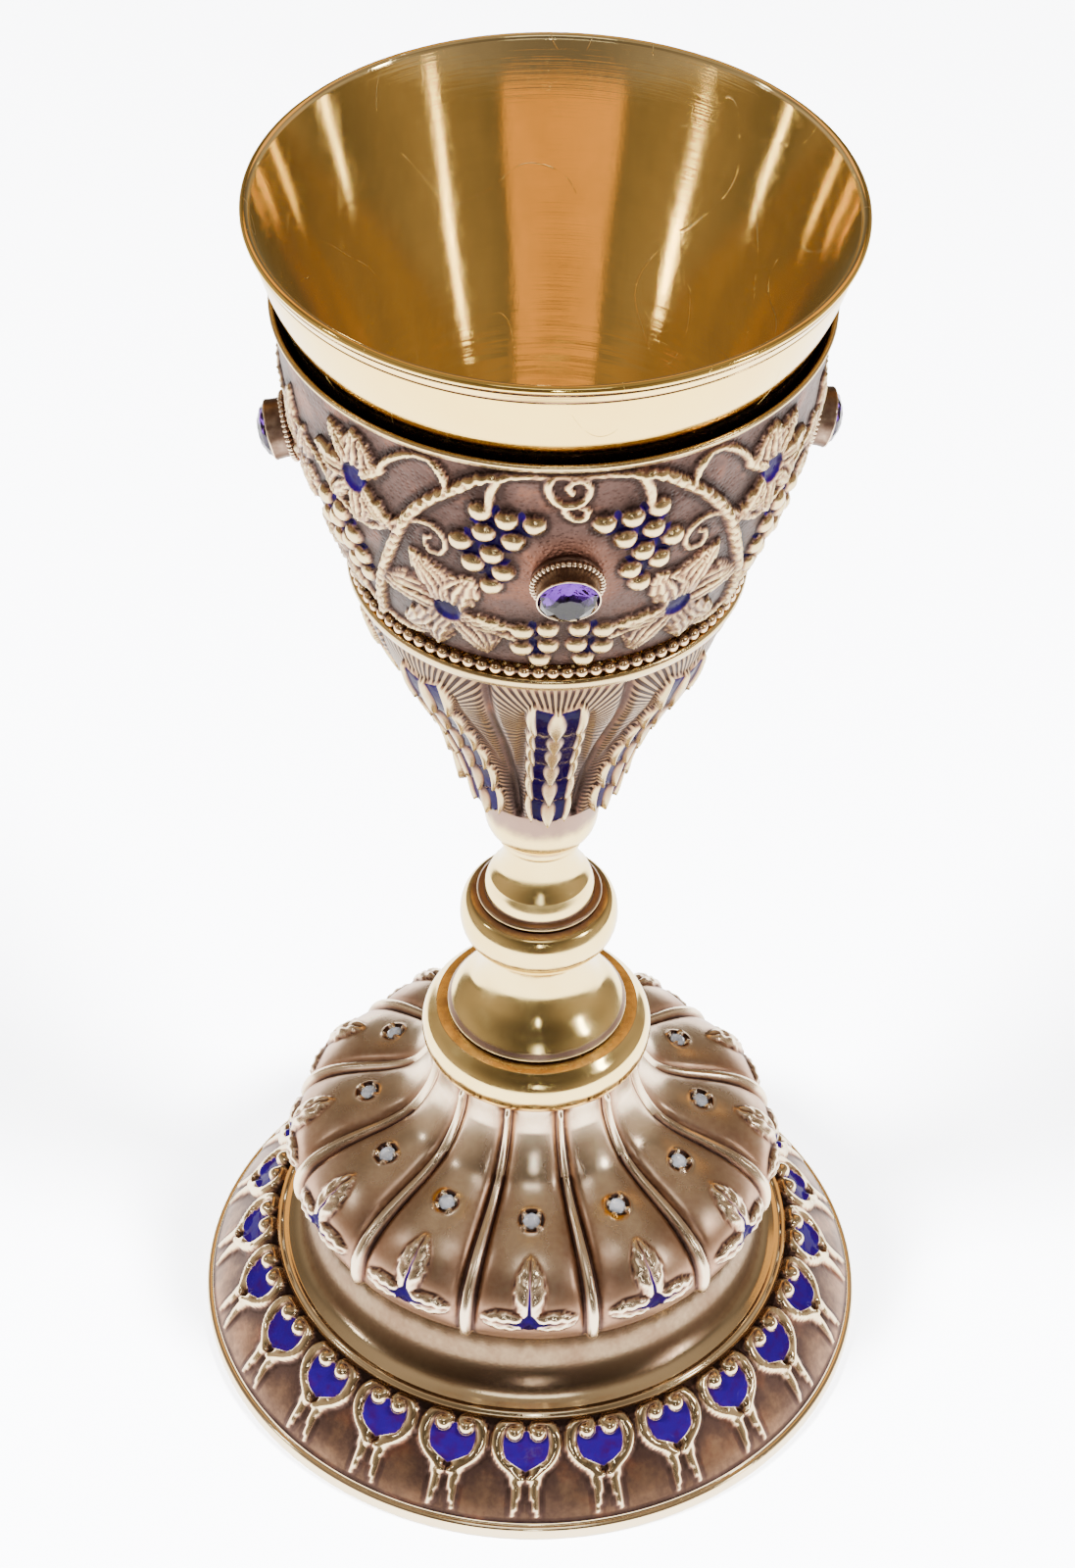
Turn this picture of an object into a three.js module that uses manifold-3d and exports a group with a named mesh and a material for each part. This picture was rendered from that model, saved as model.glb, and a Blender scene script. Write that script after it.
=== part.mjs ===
// A silver-gilt chalice: a polished cup in an embossed shell, a turned stem and a gadrooned foot.
// Millimetres, +Z up. The origin is the middle of the circle that the foot rests on.
// The front is -Y. An azimuth is measured round +Z from the front, positive towards +X.

import * as THREE from 'three';
import { mergeVertices } from 'three/addons/utils/BufferGeometryUtils.js';
import Module from 'manifold-3d';

const wasm = await Module();
wasm.setup();

// Driving dimensions
const HEIGHT = 245;
const LIP_RADIUS = 47.1;
const FOOT_RADIUS = 61.1;
const SHELL_RIM_RADIUS = 43.3;
const SHELL_RIM_HEIGHT = 228.3;
const SHELL_FOOT_RADIUS = 29.9; // inside of the shell's wall at its foot
const SEAT_RADIUS = 25.5;       // inner edge of the shell's flange, which the cup hangs in
const JOINT = 0.3;             // clearance between two pieces that touch
const CUP_WALL = 1.2;
const SHELL_WALL = 1.0;
const CALYX_WALL = 1.2;
const DOME_WALL = 1.3;
const BASE_WALL = 1.4;

// How far the upper works are turned on the stem against the foot
const CUP_TURN = THREE.MathUtils.degToRad(4.4);

// Counts of the repeated ornament
const BEADS = 88;
const CALYX_LOBES = 8;
const EAR_ROWS = 6;
const FOOT_LOBES = 12;
const HEARTS = 24;
const STONES = 4;

// Facets round each family of pieces
const BOWL_SIDES = 24;
const STEM_SIDES = 16;
const SETTING_SIDES = 8;
const AMETHYST_SIDES = 8;
const BRILLIANT_SIDES = 5;

// Stone settings on the shell
const STONE_HEIGHT = 204.5;
const STONE_TILT = THREE.MathUtils.degToRad(13.5);
const BEZEL_RADIUS = 4.9;
const BEZEL_RING_RADIUS = 5.5;
const BEZEL_RING_WIDTH = 1.2;
const BEZEL_REACH = 4.8;       // how far the bezel's edge stands off the shell
const BEZEL_BITE = 3;          // how deep the blank reaches before it is cut to fit the shell
const GEM_RADIUS = 4.3;
const GEM_DEPTH = 1.8;         // how deep the gem sits in its bezel
const GEM_CROWN = 1.6;
const GEM_TABLE = 0.6;         // the flat top's share of the gem's width

// Brilliants on the foot
const BRILLIANT_RADIUS = 1.65;
const BRILLIANT_DEPTH = 0.8;
const BRILLIANT_CROWN = 0.9;
const BRILLIANT_PLACE = 31;    // distance from the axis

// Finishes
const gilt = new THREE.MeshStandardMaterial({ color: 0xc9a24a, metalness: 1, roughness: 0.15 });
const paleGilt = new THREE.MeshStandardMaterial({ color: 0xc8b98a, metalness: 1, roughness: 0.2 });
const patina = new THREE.MeshStandardMaterial({ color: 0x8a6f5f, metalness: 0.9, roughness: 0.45 });
const copperGilt = new THREE.MeshStandardMaterial({ color: 0xb07a45, metalness: 1, roughness: 0.25 });
const amethyst = new THREE.MeshStandardMaterial({ color: 0x5a3a8c, metalness: 0, roughness: 0.05 });
const diamond = new THREE.MeshStandardMaterial({ color: 0xe4e8ec, metalness: 0, roughness: 0.05 });

const TAU = Math.PI * 2;

// Geometry from a manifold, or a manifold from a closed geometry with its faces turned outwards
function toGeometry(solid) {
  const mesh = solid.getMesh();
  const geometry = new THREE.BufferGeometry();
  geometry.setAttribute('position', new THREE.BufferAttribute(mesh.vertProperties, 3));
  geometry.setIndex(new THREE.BufferAttribute(mesh.triVerts, 1));
  geometry.computeVertexNormals();
  return geometry;
}

function toSolid(geometry) {
  const bare = geometry.clone();
  bare.deleteAttribute('normal');
  bare.deleteAttribute('uv');
  const merged = mergeVertices(bare, 1e-4);
  const points = merged.attributes.position.array;
  const index = merged.index.array;
  const corner = (k) => new THREE.Vector3().fromArray(points, 3 * index[k]);
  const triangles = [];
  let volume = 0;
  for (let k = 0; k < index.length; k += 3) {
    const [a, b, c] = [index[k], index[k + 1], index[k + 2]];
    if (a === b || b === c || c === a) continue;
    triangles.push([a, b, c]);
    volume += corner(k).dot(corner(k + 1).cross(corner(k + 2)));
  }
  const outward = volume > 0 ? triangles : triangles.map(([a, b, c]) => [a, c, b]);
  return new wasm.Manifold(new wasm.Mesh({
    numProp: 3,
    vertProperties: new Float32Array(points),
    triVerts: new Uint32Array(outward.flat()),
  }));
}

// A profile of [radius, height] points turned round +Z. One that starts off the axis closes on itself.
// A shape function carves the skin: from the column and the profile point it gives the azimuth and
// the shift along the normal. Columns that are given one azimuth run together, so that a hidden wall
// can be coarser than one that shows.
function turned(profile, sides, shape) {
  const ring = profile[0][0] > 0 ? [...profile, profile[0]] : profile;
  const geometry = new THREE.LatheGeometry(ring.map(([r, z]) => new THREE.Vector2(r, z)), sides);
  geometry.rotateX(Math.PI / 2);
  if (!shape) return geometry;
  const position = geometry.attributes.position;
  for (let column = 0; column <= sides; column++) {
    ring.forEach(([r, z], place) => {
      const j = place % profile.length;
      const { azimuth, shift } = shape(column, j);
      const [nr, nz] = normalAt(profile, j);
      const radius = Math.max(r + shift * nr, 0);
      position.setXYZ(column * ring.length + place,
        radius * Math.sin(azimuth), -radius * Math.cos(azimuth), z + shift * nz);
    });
  }
  return geometry;
}

// The azimuth of a column, or of the nearest of a coarser set of columns, one in every step
function columnAzimuth(column, sides, step = 1) {
  return TAU * step * Math.round(column / step) / sides;
}

// The outward normal of a profile that runs from its low end up the outside
function normalAt(profile, j) {
  const [r0, z0] = profile[Math.max(j - 1, 0)];
  const [r1, z1] = profile[Math.min(j + 1, profile.length - 1)];
  const length = Math.hypot(r1 - r0, z1 - z0);
  return [(z1 - z0) / length, (r0 - r1) / length];
}

// The same outline moved inwards by a wall's thickness
function inset(profile, wall) {
  return profile.map(([r, z], j) => {
    const [nr, nz] = normalAt(profile, j);
    return [Math.max(r - wall * nr, 0), z - wall * nz];
  });
}

// A turned surface that relief is laid on, by azimuth and by distance along its profile
class Skin {
  constructor(profile) {
    this.profile = profile;
    this.steps = [0];
    for (let j = 1; j < profile.length; j++) {
      const [[r0, z0], [r1, z1]] = [profile[j - 1], profile[j]];
      this.steps.push(this.steps[j - 1] + Math.hypot(r1 - r0, z1 - z0));
    }
  }

  at(distance) {
    let j = 1;
    while (j < this.steps.length - 1 && distance > this.steps[j]) j++;
    const t = (distance - this.steps[j - 1]) / (this.steps[j] - this.steps[j - 1]);
    const [[r0, z0], [r1, z1]] = [this.profile[j - 1], this.profile[j]];
    const length = this.steps[j] - this.steps[j - 1];
    return { r: r0 + t * (r1 - r0), z: z0 + t * (z1 - z0), nr: (z1 - z0) / length, nz: (r0 - r1) / length };
  }

  // Distance along the profile where one coordinate, 0 for radius or 1 for height, takes a value
  reach(axis, value) {
    for (let j = 1; j < this.profile.length; j++) {
      const [a, b] = [this.profile[j - 1][axis], this.profile[j][axis]];
      if ((value - a) * (value - b) <= 0 && a !== b) {
        return this.steps[j - 1] + (this.steps[j] - this.steps[j - 1]) * (value - a) / (b - a);
      }
    }
    throw new Error('no such place on the profile');
  }

  // Bends flat relief on to the surface: x runs round it, y along the profile, z stands out of it
  wrap(geometry, azimuth, distance) {
    const position = geometry.attributes.position;
    for (let k = 0; k < position.count; k++) {
      const { r, z, nr, nz } = this.at(distance + position.getY(k));
      const angle = azimuth + position.getX(k) / r;
      const out = position.getZ(k);
      const radius = r + out * nr;
      position.setXYZ(k, radius * Math.sin(angle), -radius * Math.cos(angle), z + out * nz);
    }
    return toSolid(geometry);
  }
}

function joined(body, pieces) {
  return wasm.Manifold.union([body, ...pieces]);
}

function named(name, shape, material) {
  const geometry = shape instanceof THREE.BufferGeometry ? toGeometry(toSolid(shape)) : toGeometry(shape);
  const mesh = new THREE.Mesh(geometry, material);
  mesh.name = name;
  return mesh;
}

const degrees = THREE.MathUtils.degToRad;

// Low relief shapes, laid flat, with part of their depth below the surface to root them in it
const ROOT = 0.5;

// A pointed mound over a closed outline of [x, y] points
function mound(outline, height) {
  const geometry = new THREE.ConeGeometry(1, height + ROOT, outline.length);
  geometry.rotateX(Math.PI / 2);
  geometry.translate(0, 0, (height - ROOT) / 2);
  const position = geometry.attributes.position;
  for (let k = 0; k < position.count; k++) {
    const [x, y] = [position.getX(k), position.getY(k)];
    if (Math.hypot(x, y) < 0.5) continue;
    const turn = Math.round(Math.atan2(x, -y) / TAU * outline.length);
    const [px, py] = outline[(turn + outline.length) % outline.length];
    position.setXYZ(k, px, py, position.getZ(k));
  }
  return geometry;
}

// A leaf with pointed lobes, the first straight up, and a notch between each two
function leaf(lobes, length, height) {
  const outline = Array.from({ length: 2 * lobes }, (_, k) => {
    const turn = Math.PI / 2 + Math.PI * k / lobes;
    const reach = k % 2 ? LEAF_WAIST * length : length;
    return [reach * Math.cos(turn), reach * Math.sin(turn)];
  });
  return mound(outline, height);
}

// A bunch of berries: a tapering pad whose edge lies below the surface and whose inner points rise
// alternately to a berry's crown
function berryPad({ width, length, across, along }) {
  const pad = new THREE.BoxGeometry(1, 1, 1, across, along, 1);
  const position = pad.attributes.position;
  for (let k = 0; k < position.count; k++) {
    const [x, y] = [position.getX(k), position.getY(k)];
    const column = Math.round((x + 0.5) * across);
    const row = Math.round((y + 0.5) * along);
    const edge = column === 0 || column === across || row === 0 || row === along;
    const crown = !edge && (column + row) % 2 === 0;
    const top = edge ? -ROOT : crown ? BERRY_RISE : BERRY_RISE / 4;
    const taper = 1 - BUNCH_TAPER * (0.5 - y);
    position.setXYZ(k, x * width * taper, y * length, position.getZ(k) > 0 ? top : -ROOT);
  }
  return pad;
}

// The embossed shell round the cup. Its relief is given for half a panel: how far round it is from the
// panel's middle, in degrees, and how high.
const shellOutside = [[30.85, 180.4], [34, 188], [38.3, 200], [41.2, 214], [42.4, 226.4]];
const shellSkin = new Skin(shellOutside);
const PANELS = 2;
const GRAPES = { turn: 14.5, height: 209.5, width: 13, length: 21, across: 5, along: 5 };
const SIDE_GRAPES = { turn: 57, height: 200, width: 10, length: 15, across: 4, along: 4 };
const LOW_LEAF = { turn: 28.5, height: 193.5, length: 11, lobes: 5 };
const HIGH_LEAF = { turn: 48, height: 215.8, length: 9.5, lobes: 5 };
const SIDE_LEAF = { turn: 72, height: 217, length: 8, lobes: 3 };
const BERRY_RISE = 1.5;
const BUNCH_TAPER = 0.62;
const LEAF_RISE = 1.0;
const LEAF_WAIST = 0.45;        // a notch's distance from the middle, as a share of a lobe's
const VINE_WIDTH = 3.4;
const VINE_RISE = 1.1;
const VINE_STEPS = 5;
const ARCH_FOOT = 182;          // height of the middle of the vine arch's ellipse
const ARCH_TOP = 225.2;
const ARCH_HALF_WIDTH = 52;
const ARCH_ENDS = [4, 89];      // where a branch starts and stops on the ellipse

function onShell(geometry, azimuth, height) {
  return shellSkin.wrap(geometry, azimuth, shellSkin.reach(1, height));
}

// A vine branch bent into half an arch over a panel, as a bar with a ridge along it
function vineBranch(middle, side) {
  const bar = new THREE.BoxGeometry(1, 1, 1, VINE_STEPS, 1, 1);
  const position = bar.attributes.position;
  const size = ARCH_TOP - ARCH_FOOT;
  for (let k = 0; k < position.count; k++) {
    const ridge = position.getZ(k) > 0;
    const turn = degrees(THREE.MathUtils.lerp(...ARCH_ENDS, position.getX(k) + 0.5));
    const reach = 1 + (ridge ? 0 : position.getY(k) * VINE_WIDTH / size);
    const azimuth = middle + side * degrees(ARCH_HALF_WIDTH) * reach * Math.cos(turn);
    const height = Math.min(ARCH_FOOT + size * reach * Math.sin(turn), shellOutside.at(-1)[1]);
    const { r, z, nr, nz } = shellSkin.at(shellSkin.reach(1, height));
    const out = ridge ? VINE_RISE : -ROOT;
    const radius = r + out * nr;
    position.setXYZ(k, radius * Math.sin(azimuth), -radius * Math.cos(azimuth), z + out * nz);
  }
  return toSolid(bar);
}

function panelRelief(middle, side) {
  const place = (geometry, { turn, height }) => onShell(geometry, middle + side * degrees(turn), height);
  const bunches = [GRAPES, SIDE_GRAPES].map((b) => place(berryPad(b), b));
  const leaves = [LOW_LEAF, HIGH_LEAF, SIDE_LEAF].map((b) => place(leaf(b.lobes, b.length, LEAF_RISE), b));
  return [vineBranch(middle, side), ...bunches, ...leaves];
}

function makeShell() {
  const rim = [
    [SHELL_RIM_RADIUS, SHELL_RIM_HEIGHT - 0.8], [SHELL_RIM_RADIUS - 0.5, SHELL_RIM_HEIGHT],
    [SHELL_RIM_RADIUS - 1.1, SHELL_RIM_HEIGHT - 0.5],
  ];
  const inside = inset(shellOutside, SHELL_WALL);
  const foot = shellOutside[0][1];
  const seat = [[SHELL_FOOT_RADIUS, foot + SHELL_WALL], [SEAT_RADIUS, foot + SHELL_WALL], [SEAT_RADIUS, foot]];
  const back = [inside[3], inside[2], inside[1], ...seat];
  const body = toSolid(turned([...shellOutside, ...rim, ...back], BOWL_SIDES));
  const relief = [];
  for (let k = 0; k < PANELS; k++) {
    relief.push(...panelRelief(TAU * k / PANELS, -1), ...panelRelief(TAU * k / PANELS, 1));
  }
  return joined(body, relief);
}

// The cup: a straight-sided cone with a round bottom and a flared, rolled lip, which hangs in the
// flange at the shell's foot
const CUP_BOTTOM = 173;
const cupOutside = [
  [0, CUP_BOTTOM], [17.5, 175.4], [25.1, 181.2], [28.4, 187.4], [41.2, 228.3],
  [43.6, 236.5], [45.8, 241.9], [LIP_RADIUS, HEIGHT - 0.6],
];
function makeCup() {
  const lip = [[46.6, HEIGHT], [45.5, HEIGHT - 0.3]];
  const inside = inset(cupOutside, CUP_WALL);
  const shown = [6, 4, 3, 2, 1].map((j) => inside[j]);
  return turned([...cupOutside, ...lip, ...shown, inside[0]], BOWL_SIDES);
}

// A ring of beads lying on the calyx's shoulder, against the shell: two columns to a bead
const BEAD_DIP = 0.8;
function makeBeadRing() {
  const profile = [[30.3, 178.2], [32.3, 179.15], [30.3, 180.1]];
  return turned(profile, 2 * BEADS, (column, j) => ({
    azimuth: columnAzimuth(column, 2 * BEADS, j === 1 ? 1 : 4),
    shift: j === 1 && column % 2 ? -BEAD_DIP : 0,
  }));
}

// The calyx: a shoulder and plain band, then eight lobes with a wheat ear on each
const calyxOutside = [[12, 130.2], [14.4, 138], [20, 152], [26.2, 163], [29.4, 171], [30.2, 175.2]];
const LOBE_DEPTH = 1.5;
const EAR_FOOT = 131.2;
const EAR_TOP = 167.5;
const EAR_WIDTH = 8.4;
const EAR_RISE = 1.5;
const EAR_TAPER = 0.24;
const EAR_STEP = 0.45;          // a grain's tip stands this share of the rise, its foot the whole

function makeCalyx() {
  const band = [[31.6, 175.7], [31.9, 177.9], [30, 177.9], [30, 180.1], [28.6, 180.1]];
  const inside = inset(calyxOutside, CALYX_WALL + LOBE_DEPTH);
  const back = [[28.6, 177], inside[3], inside[2], inside[1], [0, 132.2]];
  const profile = [[0, 130.2], ...calyxOutside, ...band, ...back];
  const perLobe = 4;
  const sides = perLobe * CALYX_LOBES;
  const lobed = (column, j) => {
    const onLobe = j >= 1 && j <= calyxOutside.length;
    const groove = onLobe && column % perLobe === perLobe / 2;
    const hidden = j > calyxOutside.length + band.length;
    return { azimuth: columnAzimuth(column, sides, hidden ? 2 : 1), shift: groove ? -LOBE_DEPTH : 0 };
  };
  const body = toSolid(turned(profile, sides, lobed));
  const skin = new Skin(calyxOutside);
  const bottom = skin.reach(1, EAR_FOOT);
  const length = skin.reach(1, EAR_TOP) - bottom;
  const ears = [];
  for (let k = 0; k < CALYX_LOBES; k++) {
    ears.push(skin.wrap(wheatEar(length), TAU * k / CALYX_LOBES, bottom));
  }
  return joined(body, ears);
}

// A wheat ear as a ridged strip with one step to each row of grains, high where the grains' feet are
function wheatEar(length) {
  const row = length / EAR_ROWS;
  const outline = [new THREE.Vector2(0, -ROOT)];
  for (let k = 0; k < EAR_ROWS; k++) {
    outline.push(new THREE.Vector2(k * row, EAR_RISE));
    outline.push(new THREE.Vector2((k + 0.94) * row, EAR_STEP * EAR_RISE));
  }
  outline.push(new THREE.Vector2(length, -ROOT));
  const geometry = new THREE.ExtrudeGeometry(new THREE.Shape(outline), { depth: 1, bevelEnabled: false });
  const position = geometry.attributes.position;
  for (let k = 0; k < position.count; k++) {
    const [along, out, across] = [position.getX(k), position.getY(k), position.getZ(k)];
    const width = out > 0 ? 0 : EAR_WIDTH * (1 - EAR_TAPER * (1 - along / length));
    position.setXYZ(k, (across - 0.5) * width, along, out);
  }
  return geometry;
}

// A stone setting: a tall round collet with a corded ring at its foot, fitted to the shell
function makeSetting(shellSolid) {
  const [pocket, floor] = [GEM_RADIUS + JOINT, BEZEL_REACH - GEM_DEPTH];
  const shoulder = BEZEL_RING_WIDTH + BEZEL_RING_RADIUS - BEZEL_RADIUS;
  const profile = [
    [0, -BEZEL_BITE], [BEZEL_RING_RADIUS, -BEZEL_BITE], [BEZEL_RING_RADIUS, BEZEL_RING_WIDTH],
    [BEZEL_RADIUS, shoulder], [BEZEL_RADIUS, BEZEL_REACH], [pocket, BEZEL_REACH], [pocket, floor],
    [0, floor],
  ];
  return stoneFrame(turned(profile, SETTING_SIDES)).subtract(shellSolid);
}

function makeAmethyst() {
  const [bed, top] = [BEZEL_REACH - GEM_DEPTH + JOINT, BEZEL_REACH + GEM_CROWN];
  const profile = [
    [0, bed], [GEM_RADIUS, bed], [GEM_RADIUS, BEZEL_REACH], [GEM_TABLE * GEM_RADIUS, top], [0, top],
  ];
  return stoneFrame(turned(profile, AMETHYST_SIDES));
}

// Puts a piece turned round +Z on the front of the shell, its axis outwards and a little down
function stoneFrame(geometry) {
  const { r, z } = shellSkin.at(shellSkin.reach(1, STONE_HEIGHT));
  geometry.rotateX(Math.PI / 2 + STONE_TILT);
  geometry.translate(0, -r, z);
  return toSolid(geometry);
}

function shellCutter() {
  const grown = inset(shellOutside, -JOINT);
  return toSolid(turned([[0, grown[0][1]], ...grown, [0, grown[grown.length - 1][1]]], BOWL_SIDES));
}

// The turned stem, from the bulb under the calyx to the collar on the foot
const bulbProfile = [
  [0, 115.5], [6.7, 115.5], [7.3, 116.1], [7.3, 117.3], [9.2, 120], [9.85, 124], [9.4, 127.8],
  [8.6, 129.9], [0, 129.9],
];
const neckProfile = [
  [0, 102.6], [10.5, 102.6], [10.9, 103.2], [9.6, 103.9], [8.7, 107.3], [7.4, 109.2], [6.3, 112.2],
  [6.4, 115.2], [0, 115.2],
];
const knopProfile = [
  [0, 93.2], [10.4, 93.2], [12.6, 94.3], [13.7, 97.8], [13, 101.1], [10.9, 102.3], [0, 102.3],
];
const bellProfile = [
  [0, 75.6], [15.4, 75.6], [15.9, 76.2], [14.2, 78.4], [11.2, 81.6], [9.3, 85.4], [8.7, 89],
  [9.8, 92.9], [0, 92.9],
];
const collarProfile = [
  [0, 66.2], [18.2, 66.2], [20, 68.2], [20.3, 71], [18.6, 74.3], [16.4, 75.3], [0, 75.3],
];

// The domed foot: twelve swelling lobes between raised cords, a brilliant and a trefoil on each
const domeOutside = [
  [42.4, 33.4], [43.4, 37.5], [42.6, 41.4], [38, 45.2], [30.8, 48.3], [23.8, 52.2], [19.8, 57.6],
  [18, 65.9],
];
const domeSkin = new Skin(domeOutside);
// How far a lobe's middle stands out past the cords, at each point of the profile from the rim up
const LOBE_SWELL = [0, 0.6, 1, 1.6, 1.9, 1.2, 0.5, 0];
const CORD_HEIGHT = 0.9;
const CORD_HALF_ANGLE = degrees(2.6);
const TREFOIL_HEIGHT = 39.2;
const TREFOIL_LENGTH = 7.6;
const TREFOIL_RISE = 2.6;

function domeColumn(column, j) {
  const sector = TAU / FOOT_LOBES;
  const hidden = j >= domeOutside.length;
  const step = hidden ? 2 * Math.round(column / 2) : column;
  const place = step % 4;              // 0 lobe middle, 1 and 3 valleys, 2 cord
  const offset = [0, sector / 2 - CORD_HALF_ANGLE, sector / 2, sector / 2 + CORD_HALF_ANGLE][place];
  const shift = place === 0 ? LOBE_SWELL[j] : place === 2 || j === 0 ? 0 : -CORD_HEIGHT;
  return { azimuth: Math.floor(step / 4) * sector + offset, shift: hidden ? 0 : shift };
}

function makeDome() {
  const back = inset(domeOutside, DOME_WALL + CORD_HEIGHT);
  const hidden = [
    [0, 65.9], [0, 63.6], [15.4, 63.6], back[5], back[3], back[1], [38.2, 34.6], [38.2, 33.2],
  ];
  const profile = [...domeOutside, ...hidden, [42, 33.2]];
  let body = toSolid(turned(profile, 4 * FOOT_LOBES, domeColumn));
  const trefoils = [];
  for (let k = 0; k < FOOT_LOBES; k++) {
    const trefoil = leaf(3, TREFOIL_LENGTH, TREFOIL_RISE);
    trefoils.push(domeSkin.wrap(trefoil, TAU * k / FOOT_LOBES, domeSkin.reach(1, TREFOIL_HEIGHT)));
  }
  body = joined(body, trefoils);
  for (let k = 0; k < FOOT_LOBES; k++) {
    const pocket = new THREE.CylinderGeometry(BRILLIANT_RADIUS + JOINT, BRILLIANT_RADIUS + JOINT, 3,
      BRILLIANT_SIDES);
    pocket.rotateX(Math.PI / 2);
    pocket.translate(0, 0, 1.5 - BRILLIANT_DEPTH);
    body = body.subtract(brilliantFrame(pocket, TAU * k / FOOT_LOBES));
  }
  return body;
}

function makeBrilliant(azimuth) {
  const floor = JOINT - BRILLIANT_DEPTH;
  const profile = [[0, floor], [BRILLIANT_RADIUS, floor], [BRILLIANT_RADIUS, 0.2], [0, BRILLIANT_CROWN]];
  return brilliantFrame(turned(profile, BRILLIANT_SIDES), azimuth);
}

// Puts a piece turned round +Z on the swelling of a lobe, its axis along the surface's normal
function brilliantFrame(geometry, azimuth) {
  const { r, z, nr, nz } = domeSkin.at(domeSkin.reach(0, BRILLIANT_PLACE));
  const swell = LOBE_SWELL[4];
  geometry.rotateX(Math.atan2(nr, nz));
  geometry.translate(0, -(r + swell * nr), z + swell * nz);
  geometry.rotateZ(azimuth);
  return toSolid(geometry);
}

// The base: a polished hollow neck, then a sloping flange with a ring of hearts, and a plain edge
const flangeOutside = [[FOOT_RADIUS, 2.7], [54.4, 10.9], [46.6, 17.4]];
const neckOutside = [[45.4, 17.3], [41.6, 19.9], [39, 26], [39.8, 32.9]];
const BASE_SIDES = 2 * HEARTS;
const SEAT_WIDTH = 3.5;
const HEART_RADIUS = 51.7;
const HEART_WIDTH = 9.6;
const HEART_LENGTH = 9;
const HEART_RISE = 1.1;

// A heart with its lobes towards the axis and its point drawn out to the edge
function heart() {
  const [w, l] = [HEART_WIDTH / 2, HEART_LENGTH];
  const right = [[w, -0.05 * l], [0.6 * w, 0.42 * l]];
  const left = right.map(([x, y]) => [-x, y]).reverse();
  return mound([...right, [0, 0.28 * l], ...left, [0, -0.8 * l]], HEART_RISE);
}

function makeBase() {
  const outside = [[FOOT_RADIUS, 0], ...flangeOutside, ...neckOutside];
  const inside = inset(outside, BASE_WALL);
  const seat = FOOT_RADIUS - SEAT_WIDTH;
  const back = [[37.4, 32.9], inside[6], inside[5], inside[3], [seat, 4], [seat, 0]];
  const profile = [...outside, ...back];
  const body = toSolid(turned(profile, BASE_SIDES, (column, j) => {
    const coarse = j > flangeOutside.length + 1 && j < profile.length - 1;
    return { azimuth: columnAzimuth(column, BASE_SIDES, coarse ? 2 : 1), shift: 0 };
  }));
  const skin = new Skin(flangeOutside);
  const hearts = [];
  for (let k = 0; k < HEARTS; k++) {
    hearts.push(skin.wrap(heart(), TAU * k / HEARTS, skin.reach(0, HEART_RADIUS)));
  }
  return joined(body, hearts);
}

// Assembly
const foot = new THREE.Group();
foot.add(named('Foot_base', makeBase(), patina));
foot.add(named('Foot_dome', makeDome(), patina));
for (let k = 0; k < FOOT_LOBES; k++) {
  const name = `Brilliant_${String(k + 1).padStart(2, '0')}`;
  foot.add(named(name, makeBrilliant(TAU * k / FOOT_LOBES), diamond));
}

const stem = new THREE.Group();
stem.add(named('Foot_collar', turned(collarProfile, STEM_SIDES), paleGilt));
stem.add(named('Stem_bell', turned(bellProfile, STEM_SIDES), paleGilt));
stem.add(named('Stem_knop', turned(knopProfile, STEM_SIDES), paleGilt));
stem.add(named('Stem_neck', turned(neckProfile, STEM_SIDES), paleGilt));
stem.add(named('Stem_bulb', turned(bulbProfile, STEM_SIDES), paleGilt));

const upper = new THREE.Group();
upper.rotation.z = CUP_TURN;
upper.add(named('Wheat_calyx', makeCalyx(), patina));
upper.add(named('Bead_ring', makeBeadRing(), copperGilt));
upper.add(named('Vine_shell', makeShell(), patina));
upper.add(named('Cup', makeCup(), gilt));
const cutter = shellCutter();
for (let k = 0; k < STONES; k++) {
  const place = new THREE.Group();
  place.rotation.z = TAU * k / STONES;
  place.add(named(`Stone_setting_${k + 1}`, makeSetting(cutter), copperGilt));
  place.add(named(`Amethyst_${k + 1}`, makeAmethyst(), amethyst));
  upper.add(place);
}

const chalice = new THREE.Group();
chalice.add(foot, stem, upper);

export default chalice;
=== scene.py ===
"""A silver-gilt chalice: a cup in a vine shell, a wheat-ear calyx, a turned stem and a lobed foot.

Profiles are (radius, height) and all ornament is measured in millimetres of a chalice 245 mm high. An
azimuth is in degrees round +Z from the front, positive towards +X. MM turns those millimetres into the
frame's metres.
"""

import math

import bpy
import numpy as np
from bpy.props import FloatProperty, FloatVectorProperty, PointerProperty
from mathutils import Matrix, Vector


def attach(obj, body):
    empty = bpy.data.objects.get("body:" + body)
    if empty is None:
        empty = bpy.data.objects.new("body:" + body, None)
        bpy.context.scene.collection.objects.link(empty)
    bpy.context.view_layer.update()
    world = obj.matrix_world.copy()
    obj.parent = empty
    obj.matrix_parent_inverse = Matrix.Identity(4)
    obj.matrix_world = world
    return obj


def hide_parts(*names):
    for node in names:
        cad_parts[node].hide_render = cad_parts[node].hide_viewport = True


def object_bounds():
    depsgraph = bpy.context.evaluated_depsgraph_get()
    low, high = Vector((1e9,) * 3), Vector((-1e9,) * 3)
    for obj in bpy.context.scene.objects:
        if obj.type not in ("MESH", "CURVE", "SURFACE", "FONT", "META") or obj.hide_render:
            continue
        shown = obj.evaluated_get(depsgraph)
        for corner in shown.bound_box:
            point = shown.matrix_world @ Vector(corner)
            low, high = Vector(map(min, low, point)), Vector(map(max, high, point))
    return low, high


bl_info = {
    "name": "Silver-gilt chalice",
    "version": (1, 0, 0),
    "blender": (4, 5, 0),
    "location": "View3D > Sidebar > Chalice",
    "description": "Builds a chalice's fine surfaces and finishes around its packed frame",
    "category": "Object",
}

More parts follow.
